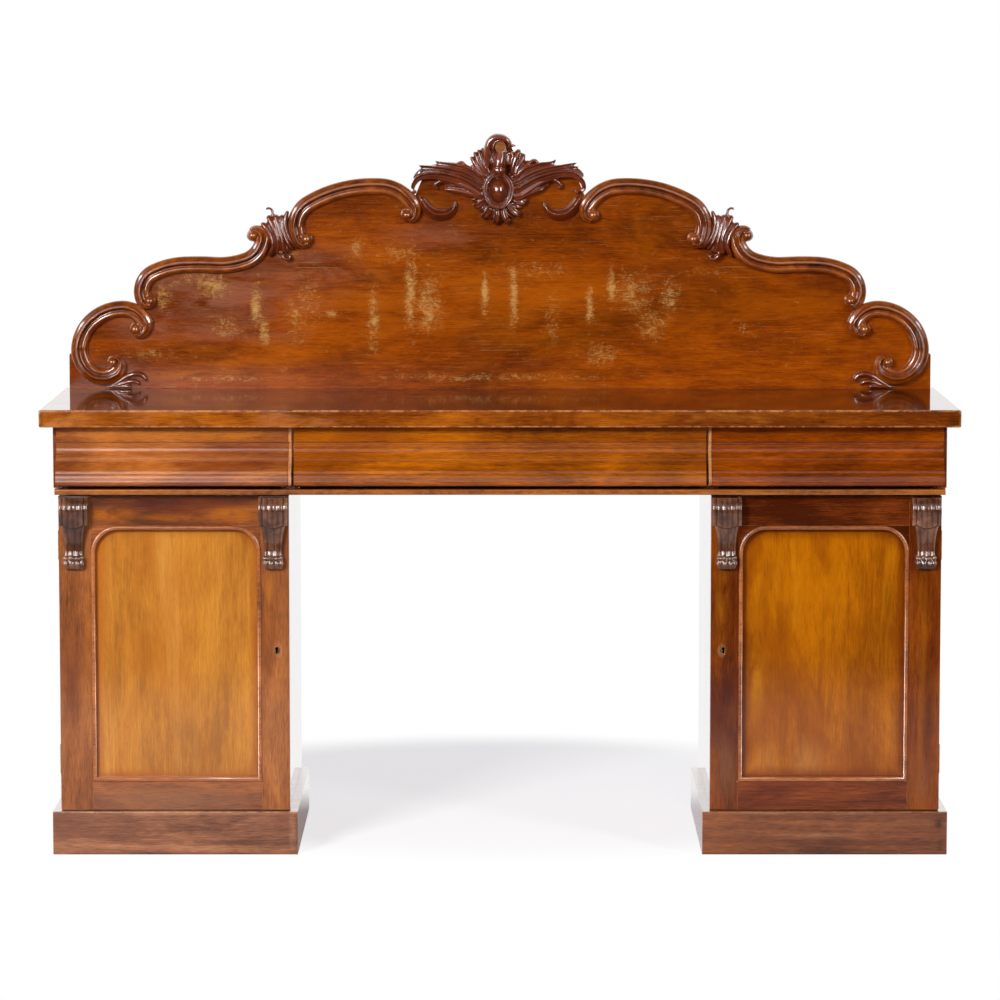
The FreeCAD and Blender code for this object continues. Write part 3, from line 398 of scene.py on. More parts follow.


# the left-hand woods are lighter than the right-hand ones: partly the wood's own tone, partly painted light,
# as the stronger lamp is on the left
woods = {
    "leftStile": woodLook(
        grain="Z", mid=(146, 82, 36), bandShare=0.45, streakShare=0.55,
        clouds=redClouds((114, 58, 28)) + [((0.8, 9.0, 9.0), 0.5, 0.54, 0.66, 0.4, (170, 106, 56))],
        stains=[((108, 52, 26), 0.3, [(-938, 380, 24, 100, 0.7), (-470, 690, 18, 40, 0.6)]),
                # pale orange strips beside the bead: painted highlight
                ((184, 108, 34), 0.04, [(-900, 500, 14, 140, 0.7), (-505, 560, 14, 100, 0.7)]),
                *keyholeStains("left")]),
    "rightStile": woodLook(
        grain="Z", mid=(120, 54, 8), bandShare=0.55, streakShare=0.6, sheen=0.0,
        clouds=redClouds((78, 22, 2), 0.8) + [((0.8, 9.0, 9.0), 0.5, 0.54, 0.66, 0.5, (150, 84, 14))],
        stains=[((160, 92, 12), 0.05, [(485, 560, 16, 70, 0.8)]),
                ((176, 98, 14), 0.0, [(930, 560, 14, 80, 0.6)]),
                ((58, 22, 10), 0.1, [(500, 390, 16, 90, 0.7), (940, 300, 16, 120, 0.6)]),
                # greyish low on the stiles: painted reflection of the floor
                ((120, 76, 50), 0.1, [(490, 190, 30, 80, 0.7), (930, 160, 20, 50, 0.4)]),
                *keyholeStains("right")]),
    "leftRail": woodLook(
        mid=(140, 74, 32), spread=0.44, clouds=redClouds((96, 38, 12), 0.8),
        stains=[((186, 102, 18), 0.10, [(-850, 748, 60, 20, 0.9), (-580, 748, 80, 18, 0.85),
                                        (-700, 742, 120, 10, 0.5), (-700, 135, 220, 9, 0.4)]),
                # greyish on the low rail: painted reflection of the floor
                ((126, 86, 62), 0.16, [(-700, 120, 300, 40, 0.75)]),
                # dark at the top rail's upper edge and right of the corbels: painted shadow of the lip and
                # corbels
                ((62, 20, 8), 0.12, [(-760, 776, 90, 14, 0.9), (-560, 780, 80, 10, 0.8),
                                     (-890, 776, 50, 12, 0.7)])]),
    "rightRail": woodLook(mid=(114, 50, 14), spread=0.40, sheen=0.0, clouds=redClouds((70, 18, 2), 0.8)),
    "leftPanel": woodLook(
        grain="Z", mid=(184, 116, 34), spread=0.16, pores=0.35, poreColour=(146, 78, 18),
        bandSize=(1.4, 24.0, 24.0), streakShare=0.9, coat=1.0, coatRough=0.08,
        # the narrow dark ring is painted shade where the panel meets the bead
        grime=panelEdgeShade("left", (0.032, 0.020, 0.85, (160, 82, 8)), (0.0145, 0.003, 0.9, (84, 26, 2))),
        clouds=[((1.1, 5.0, 5.0), 0.9, 0.48, 0.66, 0.55, (176, 98, 18)),
                ((0.9, 14.0, 14.0), 0.4, 0.54, 0.68, 0.4, (220, 158, 78))]),
    "rightPanel": woodLook(
        grain="Z", mid=(166, 90, 2), spread=0.20, pores=0.35, poreColour=(116, 54, 2),
        bandSize=(1.8, 15.0, 15.0), bandWarp=2.2, coat=1.0, coatRough=0.08, sheen=0.0,
        # the narrow dark ring is painted shade where the panel meets the bead
        grime=panelEdgeShade("right", (0.040, 0.026, 0.88, (108, 42, 2)), (0.0145, 0.003, 0.9, (60, 16, 1))),
        clouds=[((1.3, 4.0, 4.0), 1.6, 0.48, 0.64, 0.6, (136, 64, 2)),
                ((1.0, 7.0, 7.0), 0.8, 0.54, 0.68, 0.5, (202, 128, 12))],
        # greyish at the panel's bottom: painted reflection of the floor
        stains=[((190, 124, 60), 0.06, [(640, 200, 90, 50, 0.6)]),
                ((204, 132, 16), 0.05, [(560, 400, 20, 120, 0.6)])]),
    "beadWood": woodLook(mid=(158, 88, 44), spread=0.30, rubbed=0.12, worn=0.9, wornColour=(220, 160, 100)),
    "dividerWood": woodLook(grain="Z", mid=(168, 100, 52), rubbed=0.45, wornColour=(214, 158, 112)),
    "sideWood": woodLook(grain="Z", mid=(128, 62, 18), clouds=redClouds((92, 34, 8)), coat=1.0,
                         coatRough=0.03, sheen=0.5, rough=0.20),
    "endWood": woodLook(grain="Y", mid=(130, 64, 20), clouds=redClouds((92, 34, 8))),
    "lipWood": woodLook(mid=(146, 78, 22), rubbed=0.25, wornColour=(208, 140, 80)),
    "leftDrawerWood": woodLook(
        mid=(154, 82, 28), spread=0.36, bandSize=(1.0, 30.0, 30.0), streakShare=0.6,
        # orange on the fascia is the wood's tone; the narrow orange band on the crest between the upper
        # flutes is painted highlight
        stains=[((192, 108, 22), 0.1, [(-660, 922, 240, 17, 0.8), (-600, 876, 150, 8, 0.5)]),
                # dark in the flute hollows: painted shade
                ((128, 44, 6), 0.04, [(-760, 860, 120, 10, 0.7), (-560, 890, 80, 7, 0.5)])],
        clouds=redClouds((120, 50, 12), 0.7)),
    "centreDrawerWood": woodLook(mid=(158, 80, 3), spread=0.34, bandSize=(1.4, 34.0, 34.0), streakShare=0.6,
                                 sheen=0.05, clouds=redClouds((132, 60, 4), 0.6)),
    "rightDrawerWood": woodLook(mid=(138, 60, 3), spread=0.36, bandSize=(1.0, 30.0, 30.0), streakShare=0.6,
                                sheen=0.0, clouds=redClouds((100, 32, 2), 0.7)),
    "eyeWood": woodLook(mid=(122, 70, 34)),
    "topWood": woodLook(mid=(152, 77, 15), spread=0.34, rough=0.16, coat=0.85, coatRough=0.07, sheen=0.0,
                        bandSize=(3.0, 22.0, 22.0), bandWarp=2.0, stains=slabStains,
                        clouds=[((5.0, 9.0, 9.0), 1.5, 0.50, 0.64, 0.6, (112, 46, 8)),
                                ((4.0, 8.0, 8.0), 1.2, 0.56, 0.68, 0.4, (196, 118, 42))]),
    "boardWood": woodLook(mid=(138, 60, 2), spread=0.32, bandSize=(1.4, 11.0, 11.0), bandWarp=1.8,
                          patches=boardPatches, rough=0.40, coat=0.8, coatRough=0.15, pores=0.4, sheen=0.0,
                          stains=boardStains, brushed={"strength": 0.34, "colour": (206, 146, 84)},
                          clouds=[((2.4, 5.0, 5.0), 1.0, 0.50, 0.68, 0.6, (164, 80, 3)),
                                  ((2.0, 7.0, 7.0), 0.8, 0.52, 0.66, 0.5, (106, 38, 4))]),
}
for name, mid, spread, sheen, wornColour, cloud in (
        ("leftPlinth", (142, 88, 56), 0.34, 0.3, (186, 134, 92), (100, 52, 32)),
        ("rightPlinth", (118, 64, 31), 0.38, 0.2, (160, 108, 70), (74, 30, 14))):
    woods[name] = woodLook(mid=mid, spread=spread, sheen=sheen, wornColour=wornColour, worn=1.0, rough=0.36,
                           coat=1.0, coatRough=0.05, bandSize=(1.4, 38.0, 38.0), bandShare=1.1,
                           stains=plinthStains, clouds=redClouds(cloud))
for name, grain, mid in (("innerWood", "X", (166, 124, 78)), ("innerWoodDeep", "Y", (166, 124, 78)),
                         ("innerWoodUpright", "Z", (150, 106, 64))):
    woods[name] = woodLook(grain=grain, mid=mid, rough=0.55, coat=0.0, sheen=0.4)
finishes = {name: woodFinish(name, look) for name, look in woods.items()}
carvedColours = {  # deep (painted shade and dirt in the grooves), mid, light and rubbed wood, shares of cloud and fine grain, coat roughness
    "carvedWood": ((20, 5, 2), (98, 38, 12), (130, 58, 20), (166, 94, 50), 0.70, 0.30, 0.05),
    "mouldedWood": ((22, 5, 1), (122, 54, 8), (164, 88, 20), (194, 122, 52), 0.80, 0.60, 0.05),
    "corbelWood": ((16, 6, 4), (80, 46, 30), (126, 80, 54), (166, 120, 90), 1.10, 0.40, 0.09),
}
for name, (*colours, cloudShare, fineShare, coatRough) in carvedColours.items():
    finishes[name] = carvedFinish(name, {"colours": colours, "cloudShare": cloudShare, "fineShare": fineShare,
                                         "rough": 0.38, "bump": 0.10, "sheen": 0.1, "coat": 1.0,
                                         "coatRough": coatRough})
finishes["brass"] = brassFinish("brass", {
    "deep": (92, 66, 30), "mid": (150, 116, 58), "light": (188, 154, 90), "rough": 0.18})
print("finishes:", len(finishes))


# pieces

flatWidth = 0.006  # a broader face stays flat up to its eased edges


def putPiece(name, bm, nodeNames, finish, shade=0.0):
    mesh = bpy.data.meshes.new(name)
    bm.faces.index_update()
    wide = [face.index for face in bm.faces if 2 * face.calc_area() > flatWidth * face.calc_perimeter()]
    bm.to_mesh(mesh)
    bm.free()
    if shade:
        mesh.shade_smooth()
        if shade < 180:
            mesh.set_sharp_from_angle(angle=math.radians(shade))
            for index in wide:
                mesh.polygons[index].use_smooth = False
    mesh.materials.append(finishes[finish])
    piece = bpy.data.objects.new(name, mesh)
    scene.collection.objects.link(piece)
    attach(piece, bodyOf[nodeNames[0]])
    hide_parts(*nodeNames)
    return piece


def camel(nodeName):
    first, *rest = nodeName.split("_")
    return first + "".join(word.capitalize() for word in rest)


def shellsOf(bm):  # the faces of each closed solid, in the order in which the node's mesh keeps them
    shells, faces, openEdges = [], [], set()
    for face in bm.faces:
        faces.append(face)
        corners = [tuple(round(c * 1e6) for c in vert.co) for vert in face.verts]
        for a, b in zip(corners, corners[1:] + corners[:1]):
            if (b, a) in openEdges:
                openEdges.remove((b, a))
            else:
                openEdges.add((a, b))
        if not openEdges:
            shells.append(faces)
            faces = []
    return shells + ([faces] if faces else [])


easedLook = {
    "sharpEdge": 40,  # an edge that turns by more degrees than this is taken off
    "topShade": -0.5,  # the worktop's upper face is painted darker than its edges: painted shade
    "wornEdge": {"worktop": 0.004, "plinth_left": 0.004, "plinth_right": 0.004},  # narrower faces are pale
}


def easedCopy(nodeName, finish, ease=0.0008, shade=0.0):
    # a node's boards with their edges taken off, as a plane and sandpaper leave them
    bm = bmesh.new()
    bm.from_mesh(nodes[nodeName].data)
    bm.faces.ensure_lookup_table()
    seedLayer = bm.faces.layers.float.new("seed")
    toneLayer = bm.faces.layers.float.new("tone")
    wornLayer = bm.faces.layers.float.new("worn")
    luck = random.Random(nodeName)
    for faces in shellsOf(bm):
        verts = list({vert for face in faces for vert in face.verts})
        seed = luck.random()
        tone = luck.uniform(-0.05, 0.05)
        # rails take painted shade at the top and painted floor light at the bottom
        if nodeName.startswith("door_rails"):
            tone = railLightAndShade["low" if verts[0].co.z < railLightAndShade["split"] else "high"]
        for face in faces:
            face[seedLayer] = seed
            face[toneLayer] = tone
            # the upper face takes painted shade
            if nodeName == "worktop" and face.normal.z > 0.9:
                face[toneLayer] = easedLook["topShade"]
        bmesh.ops.remove_doubles(bm, verts=verts, dist=1e-6)
        verts = [vert for vert in verts if vert.is_valid]
        edges = list({edge for vert in verts for edge in vert.link_edges})
        bmesh.ops.dissolve_limit(bm, angle_limit=math.radians(0.5), verts=verts, edges=edges, delimit=set())
        verts = [vert for vert in verts if vert.is_valid]
        for face in {face for vert in verts for face in vert.link_faces}:
            if 2 * face.calc_area() < easedLook["wornEdge"].get(nodeName, 0.0) * face.calc_perimeter():
                face[wornLayer] = 1.0
        edges = [edge for edge in {edge for vert in verts for edge in vert.link_edges}
                 if len(edge.link_faces) == 2
                 and edge.calc_face_angle(0) > math.radians(easedLook["sharpEdge"])]
        if ease:
            made = bmesh.ops.bevel(bm, geom=edges, offset=ease, offset_type="OFFSET", segments=2, profile=0.5,
                                   affect="EDGES", clamp_overlap=True, material=-1)
            for face in made["faces"]:
                face[seedLayer] = seed
                face[toneLayer] = tone
                face[wornLayer] = 1.0
    return putPiece(camel(nodeName), bm, (nodeName,), finish, shade)


ripple = {  # heights of the three flutes below a drawer's fascia, their depths and half heights, in metres
    "flutes": [(0.8905, 0.0021, 0.0150), (0.8600, 0.0024, 0.0155), (0.8335, 0.0020, 0.0125)],
    "low": 0.8225, "high": 0.9020, "step": 0.0018, "frontBefore": -0.262, "facing": -0.15, "sharpEdge": 25,
}


def flute(z):
    deep = 0.0
    for middle, depth, half in ripple["flutes"]:
        away = abs(z - middle) / half
        deep += depth * (0.5 + 0.5 * math.cos(math.pi * away)) if away < 1 else 0.0
    return deep


def mouldedFront(bm):
    return [face for face in bm.faces if face.normal.y < ripple["facing"]
            and face.calc_center_median().y < ripple["frontBefore"]]


def addRipple(piece):
    # planes flutes into the moulded front, so that it has the rounds of the real one
    bm = bmesh.new()
    bm.from_mesh(piece.data)
    count = round((ripple["high"] - ripple["low"]) / ripple["step"])
    for index in range(count + 1):
        z = ripple["low"] + index * ripple["step"]
        geom = list({item for face in mouldedFront(bm) for item in (face, *face.edges, *face.verts)})
        bmesh.ops.bisect_plane(bm, geom=geom, dist=1e-6, plane_co=(0, 0, z), plane_no=(0, 0, 1))
    for vert in {vert for face in mouldedFront(bm) for vert in face.verts}:
        vert.co.y += flute(vert.co.z)
    bm.to_mesh(piece.data)
    bm.free()
    piece.data.set_sharp_from_angle(angle=math.radians(ripple["sharpEdge"]))


# the upper rails are painted darker, painted shade under the frieze; the lower rails are painted lighter,
# painted light reflected from the floor; split is the height between them
railLightAndShade = {"split": 0.4, "low": 0.10, "high": -0.16}
boards = {  # node: finish, slot, how far the edges are taken off, smooth shading below this angle
    "worktop": ("topWood", "worktop_wood", 0.0, 30),
    "frieze_partitions": ("dividerWood", "show_wood", 0.0, 25),
    "frieze_floor": ("innerWood", "inner_wood", 0.0008, 0),
    "frieze_back": ("innerWood", "inner_wood", 0.0008, 0),
    "frieze_lip": ("lipWood", "show_wood", 0.0, 30),
    "shelves": ("innerWood", "inner_wood", 0.0008, 0),
    "shelf_bearers": ("innerWoodDeep", "inner_wood", 0.0008, 0),
    "backboard": ("boardWood", "veneer", 0.001, 0),
}
for hand in ("left", "right"):
    boards["frieze_end_" + hand] = ("endWood", "show_wood", 0.001, 0)
    boards["pedestal_outer_side_" + hand] = ("sideWood", "show_wood", 0.0008, 0)
    boards["pedestal_inner_side_" + hand] = ("sideWood", "show_wood", 0.0008, 0)
    boards["pedestal_boards_" + hand] = ("innerWood", "inner_wood", 0.0008, 0)
    boards["pedestal_back_" + hand] = ("innerWoodUpright", "inner_wood", 0.0008, 0)
    boards["plinth_" + hand] = (hand + "Plinth", "show_wood", 0.0, 30)
    boards["door_stiles_" + hand] = (hand + "Stile", "show_wood", 0.0007, 0)
    boards["door_rails_" + hand] = (hand + "Rail", "show_wood", 0.0005, 0)
    boards["door_panel_" + hand] = (hand + "Panel", "veneer", 0.0, 0)
    boards["door_bead_" + hand] = ("beadWood", "show_wood", 0.0, 40)
for drawer in ("left", "centre", "right"):
    boards["drawer_" + drawer + "_front"] = (drawer + "DrawerWood", "veneer", 0.0, 25)
    boards["drawer_" + drawer + "_box"] = ("innerWoodDeep", "inner_wood", 0.0006, 0)
    boards["drawer_" + drawer + "_bottom"] = ("innerWood", "inner_wood", 0.0004, 0)
for nodeName, (finish, slotName, ease, shade) in boards.items():
    piece = easedCopy(nodeName, finish, ease, shade)
    if nodeName == "frieze_partitions" or nodeName.endswith("_front"):
        addRipple(piece)
    if nodeName == "backboard":  # its back is left unpolished
        piece.data.materials.append(finishes["innerWood"])
        for face in piece.data.polygons:
            face.material_index = 1 if face.normal.y > 0.9 else 0
print("boards:", len(boards))

for nodeName in ("lock_left", "lock_right", "lock_bolt_left", "lock_bolt_right", "hinge_leaves_left",
                 "hinge_leaves_right", "hinge_pins", "keepers", "backboard_dowels"):
    node = nodes[nodeName]
    node.data.materials.clear()
    node.data.materials.append(finishes["innerWoodUpright" if nodeName == "backboard_dowels" else "brass"])


# carved work: closed rolls and leaves, cut to one surface

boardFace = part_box("backboard")[0].y


def markRelief(piece, reach, depth):
    # how far each point stands above or below the surface round it: 0 deep in a groove, 1 on a ridge
    mesh = piece.data
    count = len(mesh.vertices)
    places = np.zeros(count * 3)
    mesh.vertices.foreach_get("co", places)
    places = places.reshape(-1, 3)
    normals = np.zeros(count * 3)
    mesh.vertices.foreach_get("normal", normals)
    normals = normals.reshape(-1, 3)
    ends = np.zeros(len(mesh.edges) * 2, dtype=int)
    mesh.edges.foreach_get("vertices", ends)
    a, b = ends[0::2], ends[1::2]
    links = np.maximum(np.bincount(a, minlength=count) + np.bincount(b, minlength=count), 1)
    level = places.copy()
    for turn in range(reach):
        total = np.stack([np.bincount(a, level[b, k], count) + np.bincount(b, level[a, k], count)
                          for k in range(3)], axis=1)
        level = level * 0.4 + 0.6 * total / links[:, None]
    stand = ((places - level) * normals).sum(axis=1)
    relief = np.clip(0.5 + 0.5 * stand / depth, 0, 1)
    layer = mesh.attributes.new("relief", "FLOAT", "POINT")
    layer.data.foreach_set("value", relief.astype(np.float32))


def openRims(verts):
    edges = {edge for vert in verts for edge in vert.link_edges}
    return [edge for edge in edges if len(edge.link_faces) == 1]


def smoothLine(points, steps):
    # a smooth line through given points: each is x, z, half width and height
    rows = [Vector(point) for point in points]
    rows = [rows[0] * 2 - rows[1]] + rows + [rows[-1] * 2 - rows[-2]]
    line = []
    spans = len(points) - 1
    for index in range(spans * steps + 1):
        span = min(index // steps, spans - 1)
        t = index / steps - span
        p0, p1, p2, p3 = rows[span:span + 4]
        line.append(0.5 * ((2 * p1) + (p2 - p0) * t + (2 * p0 - 5 * p1 + 4 * p2 - p3) * t * t
                    + (3 * p1 - p0 - 3 * p2 + p3) * t ** 3))
    return line


leafSection = [(-1.0, 0.0), (-1.0, 0.42), (-0.94, 0.66), (-0.80, 0.84), (-0.58, 0.95), (-0.30, 1.0),
               (0.0, 0.985), (0.34, 0.93), (0.62, 0.83), (0.84, 0.68), (0.96, 0.48), (1.0, 0.30), (1.0, 0.0)]
rollSection = [(-1.0, 0.0), (-1.0, 0.40), (-0.92, 0.62), (-0.72, 0.84), (-0.40, 0.97), (0.0, 1.0),
               (0.40, 0.97), (0.72, 0.84), (0.92, 0.62), (1.0, 0.40), (1.0, 0.0)]
roundSection = [(-math.cos(math.pi * i / 16), math.sin(math.pi * i / 16)) for i in range(17)]
foldSection = [(-1.0, 0.0), (-1.0, 0.45), (-0.93, 0.74), (-0.84, 0.93), (-0.72, 1.0), (-0.60, 0.96),
               (-0.44, 0.89), (-0.22, 0.83), (0.05, 0.80), (0.35, 0.79), (0.62, 0.79), (0.80, 0.74),
               (0.93, 0.60), (1.0, 0.36), (1.0, 0.0)]
crescentSection = [(-1.0, 0.0), (-1.0, 0.25), (-0.7, 0.55), (-0.3, 0.85), (0.05, 1.0), (0.15, 0.98),
                   (0.3, 0.72), (0.6, 0.55), (0.9, 0.52), (1.0, 0.40), (1.0, 0.0)]


def addRoll(bm, points, section, steps=7, mirror=1.0, squareEnds=""):
    # a closed roll along a line, its back flat on the board; sizes in millimetres
    line = smoothLine(points, steps)
    count = len(line) - 1
    ring = section + section[:1]
    made = bmesh.ops.create_grid(bm, x_segments=len(ring) - 1, y_segments=count, size=1.0)["verts"]
    for vert in made:
        across, height = ring[round((vert.co.x + 1) / 2 * (len(ring) - 1))]
        index = round((vert.co.y + 1) / 2 * count)
        x, z, half, tall = line[index]
        before, after = line[max(index - 1, 0)], line[min(index + 1, count)]
        way = Vector((after[0] - before[0], after[1] - before[1])).normalized()
        fromEnd = min(index if "start" not in squareEnds else 2,
                      count - index if "end" not in squareEnds else 2)
        ends = math.sqrt(max(1 - (1 - fromEnd / 2) ** 2, 0.02)) if fromEnd < 2 else 1.0
        side = across * max(half, 0.4) * ends
        tall = tall * (0.55 + 0.45 * ends)
        vert.co = (mirror * (x - way.y * side) / 1000, boardFace - height * tall / 1000,
                   (z + way.x * side) / 1000)
    bmesh.ops.remove_doubles(bm, verts=made, dist=1e-7)
    made = [vert for vert in made if vert.is_valid]
    bmesh.ops.holes_fill(bm, edges=openRims(made), sides=0)
    bmesh.ops.recalc_face_normals(bm, faces=list({face for vert in made for face in vert.link_faces}))


def addDome(bm, centre, halfWidth, halfHeight, tall, mirror=1.0):
    made = bmesh.ops.create_uvsphere(bm, u_segments=40, v_segments=24, radius=1.0)["verts"]
    bmesh.ops.scale(bm, vec=(halfWidth / 1000, tall / 1000, halfHeight / 1000), verts=made)
    bmesh.ops.translate(bm, vec=(mirror * centre[0] / 1000, boardFace, centre[1] / 1000), verts=made)


def carvePiece(name, bm, nodeNames, finish, cell, smoothing=3, reach=14, depth=0.0016, back=boardFace):
    # one skin round everything in the bmesh, then smoothed, with its back kept flat
    mesh = bpy.data.meshes.new(name + "Rough")
    bm.to_mesh(mesh)
    bm.free()
    rough = bpy.data.objects.new(name + "Rough", mesh)
    scene.collection.objects.link(rough)
    skin = rough.modifiers.new("skin", "REMESH")
    skin.mode = "VOXEL"
    skin.voxel_size = cell
    skinned = bpy.data.meshes.new_from_object(rough.evaluated_get(bpy.context.evaluated_depsgraph_get()))
    bpy.data.objects.remove(rough)
    bm = bmesh.new()
    bm.from_mesh(skinned)
    bmesh.ops.bisect_plane(bm, geom=bm.verts[:] + bm.edges[:] + bm.faces[:], plane_co=(0, back, 0),
                           plane_no=(0, 1, 0), clear_outer=True)
    rims = [edge for edge in bm.edges if len(edge.link_faces) == 1]
    bmesh.ops.holes_fill(bm, edges=rims, sides=0)
    for turn in range(smoothing):
        bmesh.ops.smooth_vert(bm, verts=[vert for vert in bm.verts if vert.co.y < back - 1e-5], factor=0.5,
                              use_axis_x=True, use_axis_y=True, use_axis_z=True)
    piece = putPiece(name, bm, nodeNames, finish, 180)
    markRelief(piece, reach, depth)
    print(name, "triangles about", 2 * len(piece.data.polygons))
    return piece


# scroll mouldings: the moulded section is turned round each arc's centre in turn, and curls over a ball

scrollSection = [(-1.00, 0.00), (-1.00, 0.24), (-0.97, 0.42), (-0.90, 0.54), (-0.80, 0.615),
                 (-0.66, 0.67), (-0.52, 0.72), (-0.40, 0.79), (-0.31, 0.885), (-0.25, 0.97), (-0.20, 1.00),
                 (-0.16, 0.97), (-0.12, 0.87), (-0.06, 0.70), (0.02, 0.55), (0.10, 0.48), (0.20, 0.48),
                 (0.32, 0.53), (0.45, 0.57), (0.58, 0.575), (0.70, 0.54), (0.82, 0.46), (0.92, 0.34),
                 (0.98, 0.20), (1.00, 0.00)]

scrolls = {  # places and radii in millimetres, angles in degrees, on the left half
    "end": {"start": (-813.0, 1128.0), "heading": 110.6, "outside": -1,
            "arcs": [(55.0, 71.4), (105.8, 37.2), (95.0, 41.4), (68.1, 57.7), (48.6, 80.9)],
            "balls": [(-835.1, 1116.8, 14.6), (-887.9, 1041.4, 14.0)]},
    "shoulder": {"start": (-816.3, 1186.5), "heading": 110.7, "outside": 1,
                 "arcs": [(48.3, -84.8), (176.3, -23.3), (671.0, -6.1), (178.4, 23.1), (61.1, 67.3)],
                 "balls": [(-801.9, 1181.7, 14.8), (-565.2, 1331.5, 14.8)]},
    "arch": {"start": (-463.1, 1331.7), "heading": 109.2, "outside": 1,
             "arcs": [(61.5, -78.9), (281.0, -17.5), (301.4, -16.3), (88.4, -55.2)],
             "balls": [(-442.1, 1323.2, 15.2), (-213.0, 1377.7, 15.0)]},
}
scrollLook = {"halfWidth": 19.3, "project": 27.6, "arcStep": 4.0, "longest": 10.0, "curlTurn": 124.0,
              "curlStep": 6.0, "closing": 0.42, "curlTall": 0.88, "ballTall": 26.5, "cell": 0.0009}


def leftOf(angle):
    return Vector((-math.sin(angle), 0, math.cos(angle)))


def spinRing(bm, ring, centre, degrees, scale=1.0, tallScale=1.0):
    # carries the ring one step round the centre, drawing a skin behind it
    made = bmesh.ops.extrude_edge_only(bm, edges=ring)["geom"]
    verts = [item for item in made if isinstance(item, bmesh.types.BMVert)]
    turn = Matrix.Rotation(math.radians(degrees), 3, Vector((0, -1, 0)))
    bmesh.ops.rotate(bm, cent=centre, matrix=turn, verts=verts)
    if scale != 1.0 or tallScale != 1.0:
        hub = Vector((centre.x, boardFace, centre.z))
        bmesh.ops.scale(bm, vec=(scale, tallScale, scale), space=Matrix.Translation(-hub), verts=verts)
    return [item for item in made if isinstance(item, bmesh.types.BMEdge)
            and all(vert in verts for vert in item.verts)]


def curlEnd(bm, ring, place, heading, ball):
    # the end winds round its ball in a closing spiral
    pivot = Vector((ball[0], 0, ball[1])) / 1000
    direction = 1 if leftOf(heading).dot(pivot - place) > 0 else -1
    steps = round(scrollLook["curlTurn"] / scrollLook["curlStep"])
    turn = scrollLook["curlTurn"] / steps
    closing = math.exp(-scrollLook["closing"] * math.radians(turn))
    for step in range(steps):
        ring = spinRing(bm, ring, pivot, direction * turn, closing, scrollLook["curlTall"] ** (1 / steps))
    bmesh.ops.holes_fill(bm, edges=ring, sides=0)


def makeScroll(key, spec, hand):
    half = scrollLook["halfWidth"]
    place = Vector((spec["start"][0], 0, spec["start"][1])) / 1000
    angle = math.radians(spec["heading"])
    outward = leftOf(angle) * spec["outside"]
    bm = bmesh.new()
    verts = [bm.verts.new(place - outward * across * half / 1000
                          + Vector((0, boardFace - tall * scrollLook["project"] / 1000, 0)))
             for across, tall in scrollSection]
    ring = [bm.edges.new((verts[i], verts[(i + 1) % len(verts)])) for i in range(len(verts))]
    start, startPlace, startAngle = ring, place, angle
    for radius, turn in spec["arcs"]:
        way = 1 if turn > 0 else -1
        centre = place + leftOf(angle) * way * radius / 1000
        steps = max(math.ceil(abs(turn) / scrollLook["arcStep"]),
                    math.ceil(math.radians(abs(turn)) * radius / scrollLook["longest"]))
        for step in range(steps):
            ring = spinRing(bm, ring, centre, turn / steps)
        angle += math.radians(turn)
        place = centre - leftOf(angle) * way * radius / 1000
    curlEnd(bm, ring, place, angle, spec["balls"][1])
    curlEnd(bm, start, startPlace, startAngle + math.pi, spec["balls"][0])
    for x, z, radius in spec["balls"]:
        addDome(bm, (x, z), radius, radius, scrollLook["ballTall"])
    if hand == "right":
        bmesh.ops.scale(bm, vec=(-1, 1, 1), verts=bm.verts)
    bmesh.ops.remove_doubles(bm, verts=bm.verts, dist=1e-6)
    bmesh.ops.recalc_face_normals(bm, faces=bm.faces)
    name = "scroll_" + key + "_" + hand
    carvePiece(camel(name), bm, (name,), "mouldedWood", scrollLook["cell"], smoothing=4, reach=20,
               depth=0.0022)


for key, spec in scrolls.items():
    for hand in ("left", "right"):
        makeScroll(key, spec, hand)
print("scroll mouldings: 6")


# crest: trunk and hood, shell ribs, cabochon with its frame, and the ruffle under it

